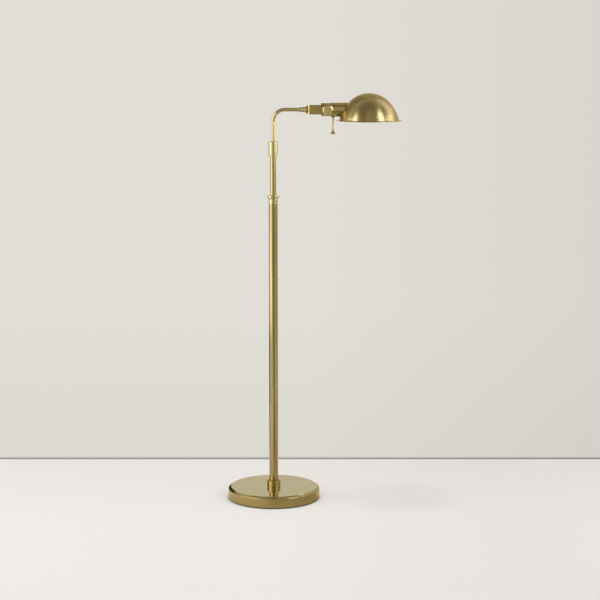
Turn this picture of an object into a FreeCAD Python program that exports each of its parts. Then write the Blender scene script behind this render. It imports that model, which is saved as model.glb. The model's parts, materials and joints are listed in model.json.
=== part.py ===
import FreeCAD, Part
import Sketcher
import math
import os
import re

# Bridge floor lamp: a weighted round base, a fixed column, a sliding riser, a swivelling bent arm and a
# tilting head with a dome shade and a turn switch.
# Frame: origin on the floor at the column's axis, +Z up, the arm reaches along +X. Millimetres.

SIZES = {
    # base
    "base_diameter": 241.3,  # outside of the spun cover's wall
    "base_top": 30.8,  # top plate above the floor
    "bevel_width": 7.0,  # ring between the plate and the wall, seen from above
    "bevel_height": 3.4,
    "bevel_hollow": 0.7,  # how far the bevel's face sinks below a straight one
    "cover_sheet": 1.2,  # thickness of the spun sheet
    "felt_thickness": 2.6,
    "felt_margin": 1.15,  # felt's edge inside the wall
    "weight_height": 20.0,
    "weight_gap": 0.4,  # round the iron, inside the cover
    "boss_diameter": 60.0,  # iron boss that carries the plate under the column
    "nut_recess_diameter": 46.0,
    "nut_recess_gap": 0.8,  # below the nipple's tail
    "nipple_diameter": 9.9,
    "nipple_bore": 6.8,
    "nipple_rise": 17.2,  # above the plate
    "nipple_tail": 1.2,  # thread left below the nut
    "washer_diameter": 30.0,
    "washer_thickness": 2.0,
    "nut_flats": 17.0,
    "nut_height": 5.0,
    # cable inlet in the back of the wall
    "inlet_height": 11.0,  # its axis above the floor
    "inlet_bore": 7.2,
    "inlet_body": 10.0,
    "inlet_flange": 14.0,
    "inlet_flange_thickness": 2.4,
    "inlet_depth": 9.0,  # body inside the flange
    "channel_play": 1.0,  # of the weight's channel round the inlet's body
    # column
    "column_wall": 1.2,
    "column_length": 753.2,  # tube, from the plate up
    "foot_proud": 5.55,  # collar's face beyond the tube's
    "foot_height": 15.2,
    "foot_chamfer": 0.9,
    "plug_height": 20.0,
    # top ring, up from the tube's end
    "spigot_length": 25.0,
    "spigot_wall": 1.15,
    "bead_height": 2.4,
    "bead_proud": 0.8,
    "bead_round": 0.6,  # swell of its face
    "neck_proud": 0.1,
    "lower_ring_start": 9.7,
    "lower_ring_height": 4.2,
    "lower_ring_proud": 1.5,
    "lower_ring_round": 0.8,
    "ring_groove": 0.8,  # between the lower ring and the flange
    "flange_height": 5.2,
    "flange_proud": 4.65,
    "flange_round": 1.4,
    "lip_height": 3.4,  # closes the ring over the friction bush
    "lip_gap": 0.4,  # round the riser
    "bush_wall": 1.25,
    "bush_length": 38.0,
    "bush_slit": 1.6,
    # riser
    "riser_diameter": 15.88,
    "riser_wall": 1.0,
    "riser_exposed": 103.5,  # between the top ring and the arm collar, as photographed
    "travel_up": 200.0,  # how much further the riser can be pulled out
    "stop_margin": 1.0,
    "guide_length": 25.0,
    "collar_wall": 4.26,  # round the riser
    "collar_height": 36.6,
    "collar_round": 1.3,
    "collar_socket": 15.0,  # how deep the riser goes into the collar
    "collar_web": 2.5,
    "web_ledge": 2.0,  # of the web under the spindle
    # swivel inside the collar
    "spindle_wall": 2.65,  # round the arm's tube
    "spindle_sink": 0.9,  # below the collar's top
    "spindle_floor": 3.0,
    "spindle_edge": 0.6,
    "spindle_wire_bore": 7.0,
    "thrust_thickness": 1.0,
    "thrust_margin": 0.3,  # inside the spindle's edge
    "groove_depth": 1.3,
    "groove_height": 2.8,
    "groove_level": 8.5,  # groove's centre below the collar's top
    "groove_angle": 348.0,  # the rest is the stop
    "grub_diameter": 3.0,
    "grub_tip_diameter": 2.2,
    "grub_tip_length": 1.2,
    "grub_tip_gap": 0.15,  # to the groove's floor
    "grub_tip_bevel": 0.3,
    "grub_sink": 0.3,
    "grub_hex": 1.5,
    "grub_hex_depth": 1.4,
    # arm
    "arm_rise": 81.8,  # level run's axis above the collar's top
    "arm_diameter": 9.6,
    "arm_wall": 1.0,
    "bend_radius": 31.0,
    "arm_reach": 68.0,  # ferrule's start from the column's axis
    "ferrule_seat": 9.0,  # tube's length inside it
    "ferrule_wall": 0.55,  # at its waist
    "bead_length": 6.2,
    "bead_one_rise": 0.9,  # above the waist
    "bead_two_rise": 1.5,
    "waist_length": 1.2,
    "flare_length": 4.8,
    "cup_rim": 1.0,
    "cup_margin": 0.6,  # inside the knuckle bar's height
    "cup_hollow": 0.6,
    "tail_wall": 0.7,  # of the ferrule's spigot in the knuckle bar
    "tail_length": 9.0,
    "tail_gap": 0.5,  # beyond its end
    # knuckle
    "bar_length": 37.0,  # up to the shoulder of the tongue
    "knuckle_height": 24.2,
    "knuckle_thickness": 13.0,
    "knuckle_edge": 0.7,
    "tongue_height": 16.7,
    "tongue_length": 16.6,  # from the shoulder to the pivot
    "wire_bore": 6.0,
    "pivot_washer": 0.7,  # between tongue and cheek
    "pivot_washer_margin": 0.2,  # inside the tongue's end
    "pivot_shank": 8.0,
    "pivot_thread": 5.0,
    "thread_gap": 1.0,  # from the wire bore to the screw's end
    "disc_diameter": 25.7,
    "disc_thickness": 3.6,
    "disc_bevel": 1.3,
    # head
    "housing_wall": 2.6,
    "housing_edge": 0.5,
    "housing_overhang": 17.6,  # fork's end beyond the pivot
    "pocket_play": 0.65,  # round the tongue's end
    "tilt_stop": 62.0,  # degrees at which the tongue meets the slot's end
    "seat_skin": 0.47,  # metal left between the discs' milled seats and the cavity
    "seat_margin": 0.3,  # of the seats round the discs
    "tongue_gap": 0.85,  # from the tongue's end to the switch
    "block_gap": 1.2,  # from the cavity's end to the switch
    # switch
    "block_length": 8.2,
    "stem_diameter": 4.4,
    "stem_top": 5.0,  # below the head's axis
    "stem_top_gap": 0.5,
    "stem_drop": 58.3,  # its lower end below the head's axis
    "stem_bush_wall": 1.24,
    "stem_bush_depth": 6.0,
    "stem_bush_edge": 0.4,
    "stem_flange_proud": 1.0,
    "stem_flange_thickness": 1.8,
    "knob_floor": 4.1,  # below the stem's end
    "knob_height": 11.0,
    "knob_diameter": 14.3,
    "knob_rim": 1.5,
    "knob_edge": 0.5,
    "knob_hollow": 1.2,  # how far the trumpet's side sinks in
    "knob_wall": 0.35,  # at the waist
    "knob_bead_height": 1.8,
    "knob_bead_proud": 0.7,  # of the small bead on top
    "knob_bead_round": 0.5,
    # lampholder and bulb
    "holder_length": 38.0,
    "holder_floor": 11.8,
    "holder_wall": 1.9,
    "shell_diameter": 26.8,
    "shell_wall": 0.5,
    "shell_recess": 0.8,  # behind the cup's mouth
    "contact_diameter": 7.0,
    "contact_tip_diameter": 4.7,
    "contact_height": 2.2,
    "holder_ring_length": 2.2,
    "holder_ring_margin": 0.3,  # of its bore round the shell
    "mouth_lip": 0.4,  # housing beyond the ring
    "cap_gap": 0.1,  # inside the shell
    "cap_length": 25.5,
    "cap_tip_length": 2.6,
    "cap_wall": 0.5,
    "glass_diameter": 48.0,
    "glass_length": 91.0,  # bulb's tip from the cap's contact
    "glass_neck_length": 20.0,  # glass inside the cap
    "glass_neck_land": 1.0,  # straight glass outside it
    "glass_hollow": 3.8,  # how far the neck's side sinks in
    "glass_wall": 0.8,
    # shade
    "rim_gap": 8.4,  # from the switch stem's axis to the rim
    "rim_drop": 28.4,  # rim's underside below the head's axis
    "rim_flare": 7.2,  # rim's edge beyond the dome's
    "rim_land": 4.8,  # flat width of the rim
    "rim_rise": 3.5,  # height of the flare under the dome
    "dome_diameter": 154.4,
    "crown_height": 70.9,  # top of the dome above the rim's underside
    "shoulder_radius": 52.4,
    "shoulder_height": 48.2,  # above the rim's underside
    "shade_sheet": 1.1,
    # fits between pieces, radial
    "fit": 0.05,
    "running": 0.06,
    "overcut": 1.0,  # how far cutting sketches run past the metal
}

# Places that several pieces share, worked out from the sizes.
PLACES = {
    "cover_radius": "base_diameter / 2",
    "plate_radius": "base_diameter / 2 - bevel_width",
    "plate_under": "base_top - cover_sheet",
    "wall_top": "base_top - bevel_height",
    "nut_recess_top": "nut_under + nut_height + washer_thickness",
    "nut_under": "felt_thickness + nut_recess_gap + nipple_tail",
    "nipple_hole": "nipple_diameter / 2 + fit",
    "riser_radius": "riser_diameter / 2",
    "riser_hole": "riser_radius + running",
    "riser_seat": "riser_radius + fit",
    "bush_radius": "riser_hole + bush_wall",
    "bush_bore": "bush_radius + fit",
    "spigot_radius": "bush_bore + spigot_wall",
    "column_bore": "spigot_radius + fit",
    "column_radius": "column_bore + column_wall",
    "column_top": "base_top + column_length",
    "lower_ring_top": "lower_ring_start + lower_ring_height",
    "ring_top": "column_top + lower_ring_top + ring_groove + flange_height",
    "ring_bottom": "column_top - spigot_length",
    "guide_top": "ring_bottom - travel_up - stop_margin",
    "collar_radius": "riser_radius + collar_wall",
    "collar_bottom": "ring_top + riser_exposed",
    "collar_top": "collar_bottom + collar_height",
    "riser_top": "collar_bottom + collar_socket",
    "thrust_bottom": "riser_top + collar_web",
    "spindle_bottom": "thrust_bottom + thrust_thickness",
    "spindle_radius": "arm_seat + spindle_wall",
    "web_radius": "spindle_radius - web_ledge",
    "arm_foot": "spindle_bottom + spindle_floor",
    "arm_height": "collar_top + arm_rise",
    "arm_bore": "arm_diameter / 2 - arm_wall",
    "arm_seat": "arm_diameter / 2 + fit",
    "waist_radius": "arm_seat + ferrule_wall",
    "bead_one_end": "arm_reach + bead_length",
    "bead_two_start": "bead_one_end + waist_length",
    "bead_two_end": "bead_two_start + bead_length",
    "cup_start": "bead_two_end + flare_length",
    "cup_radius": "knuckle_height / 2 - cup_margin",
    "tail_radius": "arm_bore + tail_wall",
    "knuckle_start": "cup_start + cup_rim",
    "shoulder_reach": "knuckle_start + bar_length",
    "pivot_reach": "shoulder_reach + tongue_length",
    "tongue_radius": "tongue_height / 2",
    "slot_half": "knuckle_thickness / 2 + pivot_washer + fit",
    "shell_radius": "shell_diameter / 2",
    "holder_radius": "shell_radius + fit + holder_wall",
    "cavity_radius": "holder_radius + fit",
    "housing_radius": "cavity_radius + housing_wall",
    "seat_depth": "cavity_radius + seat_skin",
    "seat_radius": "disc_diameter / 2 + seat_margin",
    "pocket_radius": "tongue_radius + pocket_play",
    "fork_end": "pivot_reach - housing_overhang",
    # where the slot's end stops the tongue's straight edge
    "stop_reach": "pocket_radius * sin(tilt_stop * 1 deg - acos(tongue_radius / pocket_radius))",
    "block_start": "pivot_reach + tongue_radius + tongue_gap",
    "cavity_start": "block_start - block_gap",
    "switch_reach": "block_start + block_length / 2",
    "stem_bush_radius": "stem_diameter / 2 + running + stem_bush_wall",
    "holder_start": "block_start + block_length",
    "holder_end": "holder_start + holder_length",
    "housing_end": "holder_end + holder_ring_length + mouth_lip",
    "cap_start": "holder_start + holder_floor + contact_height",
    "cap_end": "cap_start + cap_length",
    "cap_radius": "shell_radius - shell_wall - cap_gap",
    "stem_bottom": "arm_height - stem_drop",
    "rim_radius": "dome_diameter / 2 + rim_flare",
    "rim_height": "arm_height - rim_drop",
    "shade_reach": "switch_reach + rim_gap + rim_radius",
    # The dome's section is two arcs: the crown's centre is on the axis, and the side meets it smoothly.
    "crown_drop": "crown_height - shoulder_height",
    "crown_bend": "(shoulder_radius ^ 2 + crown_drop ^ 2) / (2 * crown_drop)",
    "crown_share": "1 - shade_sheet / crown_bend",
    "side_run": "dome_diameter / 2 - shoulder_radius",
    "side_rise": "shoulder_height - rim_rise",
    "side_lean": "side_rise * (crown_bend - crown_drop) - side_run * shoulder_radius",
    "side_bend": "(side_run ^ 2 + side_rise ^ 2) * crown_bend / (2 * side_lean)",
}

TOUCH = 0.01  # a length or volume below this counts as nothing

doc = FreeCAD.newDocument("bridge_floor_lamp")
sheet = doc.addObject("Spreadsheet::Sheet", "Sizes")
for row, (alias, size) in enumerate(SIZES.items(), start=1):
    sheet.set(f"A{row}", alias)
    sheet.set(f"B{row}", str(size))
    sheet.setAlias(f"B{row}", alias)
doc.recompute()

def bound(expression):
    """The expression with its places worked out and every size pointed at the sheet."""
    def meaning(word):
        if word[0] in PLACES:
            return f"({bound(PLACES[word[0]])})"
        return f"Sizes.{word[0]}" if word[0] in SIZES else word[0]

    return re.sub(r"[a-z_]+", meaning, str(expression))


def number(expression):
    """What an expression of the sheet's names comes to, in millimetres or degrees."""
    result = sheet.evalExpression(bound(expression))
    return float(getattr(result, "Value", result))


def hold(sketch, kind, geometry, point, expression):
    """Ties one coordinate of a sketch point to an expression."""
    index = sketch.addConstraint(Sketcher.Constraint(kind, -1, 1, geometry, point, number(expression)))
    if not str(expression).lstrip("-").replace(".", "").isdigit():
        sketch.setExpression(f"Constraints[{index}]", bound(expression))


def swell(chord, rise):
    """Radius of an arc with that chord and rise, as an expression."""
    return f"((({chord}) ^ 2 / 4 + ({rise}) ^ 2) / (2 * ({rise})))"


def arc_between(start, end, radius):
    """Arc from start to end and whether it runs backwards. A positive radius bulges to the right."""
    way = end - start
    side = FreeCAD.Vector(-way.y, way.x, 0).normalize()
    rise = math.sqrt(max(radius * radius - way.Length * way.Length / 4, 0))
    if radius > 0:
        centre = (start + end) / 2 + side * rise
        first, last = start - centre, end - centre
    else:
        centre = (start + end) / 2 - side * rise
        first, last = end - centre, start - centre
    circle = Part.Circle(centre, FreeCAD.Vector(0, 0, 1), abs(radius))
    from_angle = math.atan2(first.y, first.x)
    to_angle = math.atan2(last.y, last.x)
    return Part.ArcOfCircle(circle, from_angle, to_angle), radius < 0


def outline(sketch, corners):
    """Closed outline through (x, y) corners. A third value is the radius of the arc to the next corner."""
    spots = [FreeCAD.Vector(number(corner[0]), number(corner[1]), 0) for corner in corners]
    ends = []
    for index, corner in enumerate(corners):
        start = spots[index]
        end = spots[(index + 1) % len(spots)]
        if len(corner) == 2:
            ends.append((sketch.addGeometry(Part.LineSegment(start, end)), 1, 2))
            continue
        arc, backwards = arc_between(start, end, number(corner[2]))
        made = sketch.addGeometry(arc)
        ends.append((made, 2, 1) if backwards else (made, 1, 2))
        bend = sketch.addConstraint(Sketcher.Constraint("Radius", made, abs(number(corner[2]))))
        sketch.setExpression(f"Constraints[{bend}]", bound(f"abs({corner[2]})"))
    for index, corner in enumerate(corners):
        made, first, last = ends[index]
        following = ends[(index + 1) % len(ends)]
        sketch.addConstraint(Sketcher.Constraint("Coincident", made, last, following[0], following[1]))
        hold(sketch, "DistanceX", made, first, corner[0])
        hold(sketch, "DistanceY", made, first, corner[1])


def round_hole(sketch, x, y, radius):
    """Circle of that radius about (x, y)."""
    centre = FreeCAD.Vector(number(x), number(y), 0)
    made = sketch.addGeometry(Part.Circle(centre, FreeCAD.Vector(0, 0, 1), number(radius)))
    index = sketch.addConstraint(Sketcher.Constraint("Radius", made, number(radius)))
    sketch.setExpression(f"Constraints[{index}]", bound(radius))
    hold(sketch, "DistanceX", made, 3, x)
    hold(sketch, "DistanceY", made, 3, y)


def hexagon(sketch, flats):
    """Hexagon of that width across its flats, about the sketch's origin."""
    corner = f"{flats} / sqrt(3)"
    outline(sketch, [
        (corner, 0),
        (f"{corner} / 2", f"{flats} / 2"),
        (f"-{corner} / 2", f"{flats} / 2"),
        (f"-{corner}", 0),
        (f"-{corner} / 2", f"-{flats} / 2"),
        (f"{corner} / 2", f"-{flats} / 2"),
    ])


def sketch_on(body, plane, name, offset=None):
    """Empty sketch on one of the body's origin planes, lifted off it by the offset."""
    sketch = body.newObject("Sketcher::SketchObject", f"{body.Label}_{name}")
    found = [feature for feature in body.Origin.OriginFeatures if feature.Role == plane]
    sketch.AttachmentSupport = (found[0], [""])
    sketch.MapMode = "FlatFace"
    if offset is not None:
        sketch.setExpression("AttachmentOffset.Base.z", bound(offset))
    return sketch


def new_body(name, x=None, z=None):
    """Body with its place bound to the sheet."""
    body = doc.addObject("PartDesign::Body", name)
    if x is not None:
        body.setExpression("Placement.Base.x", bound(x))
    if z is not None:
        body.setExpression("Placement.Base.z", bound(z))
    return body


def turned(name, corners, about="V_Axis", plane="XZ_Plane", x=None, z=None):
    """Turned piece: a half section spun about the sketch's upright axis or, with H_Axis, its level one."""
    body = new_body(name, x, z)
    profile = sketch_on(body, plane, "section")
    outline(profile, corners)
    spin = body.newObject("PartDesign::Revolution", f"{name}_turned")
    spin.Profile = profile
    spin.ReferenceAxis = (profile, [about])
    spin.Angle = 360
    doc.recompute()
    return body


def padded(body, profile, height, symmetric=False):
    """Pad of a sketch, to one side or half to each side."""
    pad = body.newObject("PartDesign::Pad", f"{profile.Label}_pad")
    pad.Profile = profile
    pad.setExpression("Length", bound(height))
    pad.SideType = "Symmetric" if symmetric else "One side"
    doc.recompute()
    return pad


def check_cut(body, before):
    """Stops the build if the body's last feature took nothing away."""
    if body.Shape.Volume > before - TOUCH:
        raise ValueError(f"{body.Tip.Label} cuts nothing")


def cut_out(body, profile, depth, symmetric=False, reverse=False):
    """Pocket of a sketch, which has to take material away."""
    before = body.Shape.Volume
    pocket = body.newObject("PartDesign::Pocket", f"{profile.Label}_cut")
    pocket.Profile = profile
    pocket.setExpression("Length", bound(depth))
    pocket.SideType = "Symmetric" if symmetric else "One side"
    pocket.Reversed = reverse
    doc.recompute()
    check_cut(body, before)


def tube_section(left, right, bottom, top):
    """Corners of a plain tube's or disc's half section."""
    return [(left, bottom), (right, bottom), (right, top), (left, top)]


# ---------------------------------------------------------------- base
def make_base_cover():
    """Spun shell: flat plate, hollow bevel, upright wall, and holes for the nipple and the inlet."""
    bevel_bend = swell("sqrt(bevel_width ^ 2 + bevel_height ^ 2)", "bevel_hollow")
    body = turned("base_cover", [
        ("nipple_hole", "plate_under"),
        ("plate_radius - cover_sheet / 2", "plate_under", f"{bevel_bend} + cover_sheet"),
        ("cover_radius - cover_sheet", "wall_top - cover_sheet / 2"),
        ("cover_radius - cover_sheet", "felt_thickness"),
        ("cover_radius", "felt_thickness"),
        ("cover_radius", "wall_top", f"-{bevel_bend}"),
        ("plate_radius", "base_top"),
        ("nipple_hole", "base_top"),
    ])
    hole = sketch_on(body, "XZ_Plane", "inlet")
    round_hole(hole, 0, "inlet_height", "inlet_body / 2 + fit")
    cut_out(body, hole, "cover_radius")


def make_base_weight():
    """Iron disc with a boss, a nut recess below and a cable channel to the back."""
    edge = "cover_radius - cover_sheet - weight_gap"
    body = turned("base_weight", [
        ("nipple_hole", "nut_recess_top"),
        ("nut_recess_diameter / 2", "nut_recess_top"),
        ("nut_recess_diameter / 2", "felt_thickness"),
        (edge, "felt_thickness"),
        (edge, "felt_thickness + weight_height"),
        ("boss_diameter / 2", "felt_thickness + weight_height"),
        ("boss_diameter / 2", "plate_under"),
        ("nipple_hole", "plate_under"),
    ])
    channel = sketch_on(body, "XZ_Plane", "channel", "overcut - nut_recess_diameter / 2")
    outline(channel, [
        ("-(inlet_body / 2 + channel_play)", "felt_thickness"),
        ("inlet_body / 2 + channel_play", "felt_thickness"),
        ("inlet_body / 2 + channel_play", "inlet_height + inlet_body / 2 + channel_play"),
        ("-(inlet_body / 2 + channel_play)", "inlet_height + inlet_body / 2 + channel_play"),
    ])
    cut_out(body, channel, "cover_radius")


def make_cord_bushing():
    """Flanged inlet bush in the back of the wall, along Y."""
    turned("cord_bushing", [
        ("inlet_bore / 2", "cover_radius - inlet_depth"),
        ("inlet_body / 2", "cover_radius - inlet_depth"),
        ("inlet_body / 2", "cover_radius"),
        ("inlet_flange / 2", "cover_radius"),
        ("inlet_flange / 2", "cover_radius + inlet_flange_thickness / 2"),
        ("inlet_body / 2", "cover_radius + inlet_flange_thickness"),
        ("inlet_bore / 2", "cover_radius + inlet_flange_thickness"),
    ], plane="XY_Plane", z="inlet_height")


def make_base_nut():
    """Hexagon nut under the washer."""
    body = new_body("base_nut", z="nut_under")
    profile = sketch_on(body, "XY_Plane", "hexagon")
    hexagon(profile, "nut_flats")
    round_hole(profile, 0, 0, "nipple_hole")
    padded(body, profile, "nut_height")


def make_base():
    """Everything that stands on the floor below the column."""
    make_base_cover()
    make_base_weight()
    turned("base_felt", tube_section(0, "cover_radius - felt_margin", 0, "felt_thickness"))
    make_cord_bushing()
    nipple_ends = ("nut_under - nipple_tail", "base_top + nipple_rise")
    turned("tie_nipple", tube_section("nipple_bore / 2", "nipple_diameter / 2", *nipple_ends))
    washer_ends = ("nut_under + nut_height", "nut_recess_top")
    turned("base_washer", tube_section("nipple_hole", "washer_diameter / 2", *washer_ends))
    make_base_nut()


# ---------------------------------------------------------------- column
def make_foot_collar():
    """Turned collar round the foot of the tube, with a bevelled top."""
    face = "column_radius + foot_proud"
    top = "base_top + foot_height"
    turned("foot_collar", [
        ("column_radius + fit", "base_top"),
        (face, "base_top"),
        (face, f"{top} - foot_chamfer"),
        (f"{face} - foot_chamfer", top),
        ("column_radius + fit", top),
    ])


def make_top_ring():
    """Turned ring: spigot in the tube, bead, neck, lower ring, flange and a lip over the bush."""
    neck = "column_radius + neck_proud"
    bead_edge = "column_radius + bead_proud - bead_round"
    lower_edge = "column_radius + lower_ring_proud - lower_ring_round"
    flange_face = "column_radius + flange_proud"
    turned("top_ring", [
        ("bush_bore", "ring_bottom"),
        ("spigot_radius", "ring_bottom"),
        ("spigot_radius", "column_top"),
        ("column_radius", "column_top"),
        (bead_edge, "column_top", swell("bead_height", "bead_round")),
        (bead_edge, "column_top + bead_height"),
        (neck, "column_top + bead_height"),
        (neck, "column_top + lower_ring_start"),
        (lower_edge, "column_top + lower_ring_start", swell("lower_ring_height", "lower_ring_round")),
        (lower_edge, "column_top + lower_ring_top"),
        (neck, "column_top + lower_ring_top"),
        (neck, "ring_top - flange_height"),
        (f"{flange_face} - flange_round", "ring_top - flange_height", "flange_round"),
        (flange_face, "ring_top - flange_height + flange_round"),
        (flange_face, "ring_top - flange_round", "flange_round"),
        (f"{flange_face} - flange_round", "ring_top"),
        ("riser_hole + lip_gap", "ring_top"),
        ("riser_hole + lip_gap", "ring_top - lip_height"),
        ("bush_bore", "ring_top - lip_height"),
    ])


def make_friction_bush():
    """Split bush that grips the riser."""
    top = "ring_top - lip_height"
    foot = "ring_top - lip_height - bush_length"
    body = turned("friction_bush", tube_section("riser_hole", "bush_radius", foot, top))
    slit = sketch_on(body, "XY_Plane", "slit", foot)
    outline(slit, [
        ("-bush_slit / 2", 0),
        ("bush_slit / 2", 0),
        ("bush_slit / 2", "bush_radius + overcut"),
        ("-bush_slit / 2", "bush_radius + overcut"),
    ])
    cut_out(body, slit, "bush_length", reverse=True)


def make_column():
    """Fixed tube with its foot and its top ring."""
    make_foot_collar()
    plug_ends = ("base_top", "base_top + plug_height")
    turned("foot_plug", tube_section("nipple_hole", "column_bore - fit", *plug_ends))
    turned("outer_tube", tube_section("column_bore", "column_radius", "base_top", "column_top"))
    make_top_ring()
    make_friction_bush()


# ---------------------------------------------------------------- riser
def make_arm_collar():
    """Turned collar: riser's socket below, a web, and the spindle's bore above, with a screw hole behind."""
    body = turned("arm_collar", [
        ("riser_seat", 0),
        ("collar_radius - collar_round", 0, "collar_round"),
        ("collar_radius", "collar_round"),
        ("collar_radius", "collar_height - collar_round", "collar_round"),
        ("collar_radius - collar_round", "collar_height"),
        ("spindle_radius + running", "collar_height"),
        ("spindle_radius + running", "collar_socket + collar_web"),
        ("web_radius", "collar_socket + collar_web"),
        ("web_radius", "collar_socket"),
        ("riser_seat", "collar_socket"),
    ], z="collar_bottom")
    hole = sketch_on(body, "XZ_Plane", "screw_hole")
    round_hole(hole, 0, "collar_height - groove_level", "grub_diameter / 2 + fit")
    cut_out(body, hole, "collar_radius + overcut")


def make_swivel_screw():
    """Grub screw in the collar's back, with its tip in the spindle's groove and a hexagon socket outside."""
    tip = "spindle_radius - groove_depth + grub_tip_gap"
    head = "collar_radius - grub_sink"
    body = turned("swivel_screw", [
        (0, tip),
        ("grub_tip_diameter / 2", tip),
        ("grub_tip_diameter / 2", f"{tip} + grub_tip_length"),
        ("grub_diameter / 2", f"{tip} + grub_tip_length + grub_tip_bevel"),
        ("grub_diameter / 2", head),
        (0, head),
    ], plane="XY_Plane", z="collar_top - groove_level")
    socket = sketch_on(body, "XZ_Plane", "socket", f"-({head})")
    hexagon(socket, "grub_hex")
    cut_out(body, socket, "grub_hex_depth", reverse=True)


def make_riser():
    """Sliding tube with its guide below and its collar above."""
    foot = "guide_top - guide_length"
    turned("inner_tube", tube_section("riser_radius - riser_wall", "riser_radius", foot, "riser_top"))
    turned("guide_bush", tube_section("riser_seat", "column_bore - running", foot, "guide_top"))
    make_arm_collar()
    thrust_edge = "spindle_radius - thrust_margin"
    turned("thrust_washer", tube_section("web_radius", thrust_edge, "thrust_bottom", "spindle_bottom"))
    make_swivel_screw()


# ---------------------------------------------------------------- arm
def make_swivel_spindle():
    """Spindle of the arm, with a groove that stops short of a full turn."""
    top = "collar_top - spindle_sink"
    body = turned("swivel_spindle", [
        ("spindle_wire_bore / 2", "spindle_bottom"),
        ("spindle_radius", "spindle_bottom"),
        ("spindle_radius", f"{top} - spindle_edge"),
        ("spindle_radius - spindle_edge", top),
        ("arm_seat", top),
        ("arm_seat", "arm_foot"),
        ("spindle_wire_bore / 2", "arm_foot"),
    ])
    before = body.Shape.Volume
    profile = sketch_on(body, "YZ_Plane", "groove_section")
    level = "collar_top - groove_level"
    outline(profile, [
        ("spindle_radius - groove_depth", f"{level} - groove_height / 2"),
        ("spindle_radius + overcut", f"{level} - groove_height / 2"),
        ("spindle_radius + overcut", f"{level} + groove_height / 2"),
        ("spindle_radius - groove_depth", f"{level} + groove_height / 2"),
    ])
    groove = body.newObject("PartDesign::Groove", "swivel_spindle_groove")
    groove.Profile = profile
    groove.ReferenceAxis = (profile, ["V_Axis"])
    groove.setExpression("Angle", bound("groove_angle"))
    groove.Midplane = True
    doc.recompute()
    check_cut(body, before)


def make_arm_tube():
    """Bent tube: up out of the spindle, a quarter bend, and level into the ferrule."""
    body = new_body("arm_tube")
    path = sketch_on(body, "XZ_Plane", "path")
    foot = FreeCAD.Vector(0, number("arm_foot"), 0)
    bend_start = FreeCAD.Vector(0, number("arm_height - bend_radius"), 0)
    bend_centre = FreeCAD.Vector(number("bend_radius"), number("arm_height - bend_radius"), 0)
    bend_end = FreeCAD.Vector(number("bend_radius"), number("arm_height"), 0)
    tube_end = FreeCAD.Vector(number("arm_reach + ferrule_seat"), number("arm_height"), 0)
    circle = Part.Circle(bend_centre, FreeCAD.Vector(0, 0, 1), number("bend_radius"))
    riser = path.addGeometry(Part.LineSegment(foot, bend_start))
    bend = path.addGeometry(Part.ArcOfCircle(circle, math.pi / 2, math.pi))
    level = path.addGeometry(Part.LineSegment(bend_end, tube_end))
    path.addConstraint(Sketcher.Constraint("Coincident", riser, 2, bend, 2))
    path.addConstraint(Sketcher.Constraint("Coincident", bend, 1, level, 1))
    hold(path, "DistanceX", riser, 1, 0)
    hold(path, "DistanceY", riser, 1, "arm_foot")
    hold(path, "DistanceX", bend, 2, 0)
    hold(path, "DistanceY", bend, 2, "arm_height - bend_radius")
    hold(path, "DistanceX", bend, 1, "bend_radius")
    hold(path, "DistanceY", bend, 1, "arm_height")
    hold(path, "DistanceX", level, 2, "arm_reach + ferrule_seat")
    hold(path, "DistanceY", level, 2, "arm_height")
    radius = path.addConstraint(Sketcher.Constraint("Radius", bend, number("bend_radius")))
    path.setExpression(f"Constraints[{radius}]", bound("bend_radius"))
    section = sketch_on(body, "XY_Plane", "section", "arm_foot")
    round_hole(section, 0, 0, "arm_diameter / 2")
    round_hole(section, 0, 0, "arm_bore")
    doc.recompute()
    pipe = body.newObject("PartDesign::AdditivePipe", "arm_tube_pipe")
    pipe.Profile = section
    pipe.Spine = (path, [])
    doc.recompute()


def make_arm_ferrule():
    """Turned ferrule: two beads, a flared cup against the knuckle and a spigot inside it."""
    flare = swell("sqrt(flare_length ^ 2 + (cup_radius - waist_radius) ^ 2)", "cup_hollow")
    turned("arm_ferrule", [
        ("arm_reach + ferrule_seat", "arm_bore"),
        ("arm_reach + ferrule_seat", "arm_seat"),
        ("arm_reach", "arm_seat"),
        ("arm_reach", "waist_radius", f"-{swell('bead_length', 'bead_one_rise')}"),
        ("bead_one_end", "waist_radius"),
        ("bead_two_start", "waist_radius", f"-{swell('bead_length', 'bead_two_rise')}"),
        ("bead_two_end", "waist_radius", flare),
        ("cup_start", "cup_radius"),
        ("knuckle_start", "cup_radius"),
        ("knuckle_start", "tail_radius"),
        ("knuckle_start + tail_length", "tail_radius"),
        ("knuckle_start + tail_length", "arm_bore"),
    ], about="H_Axis", z="arm_height")


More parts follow.
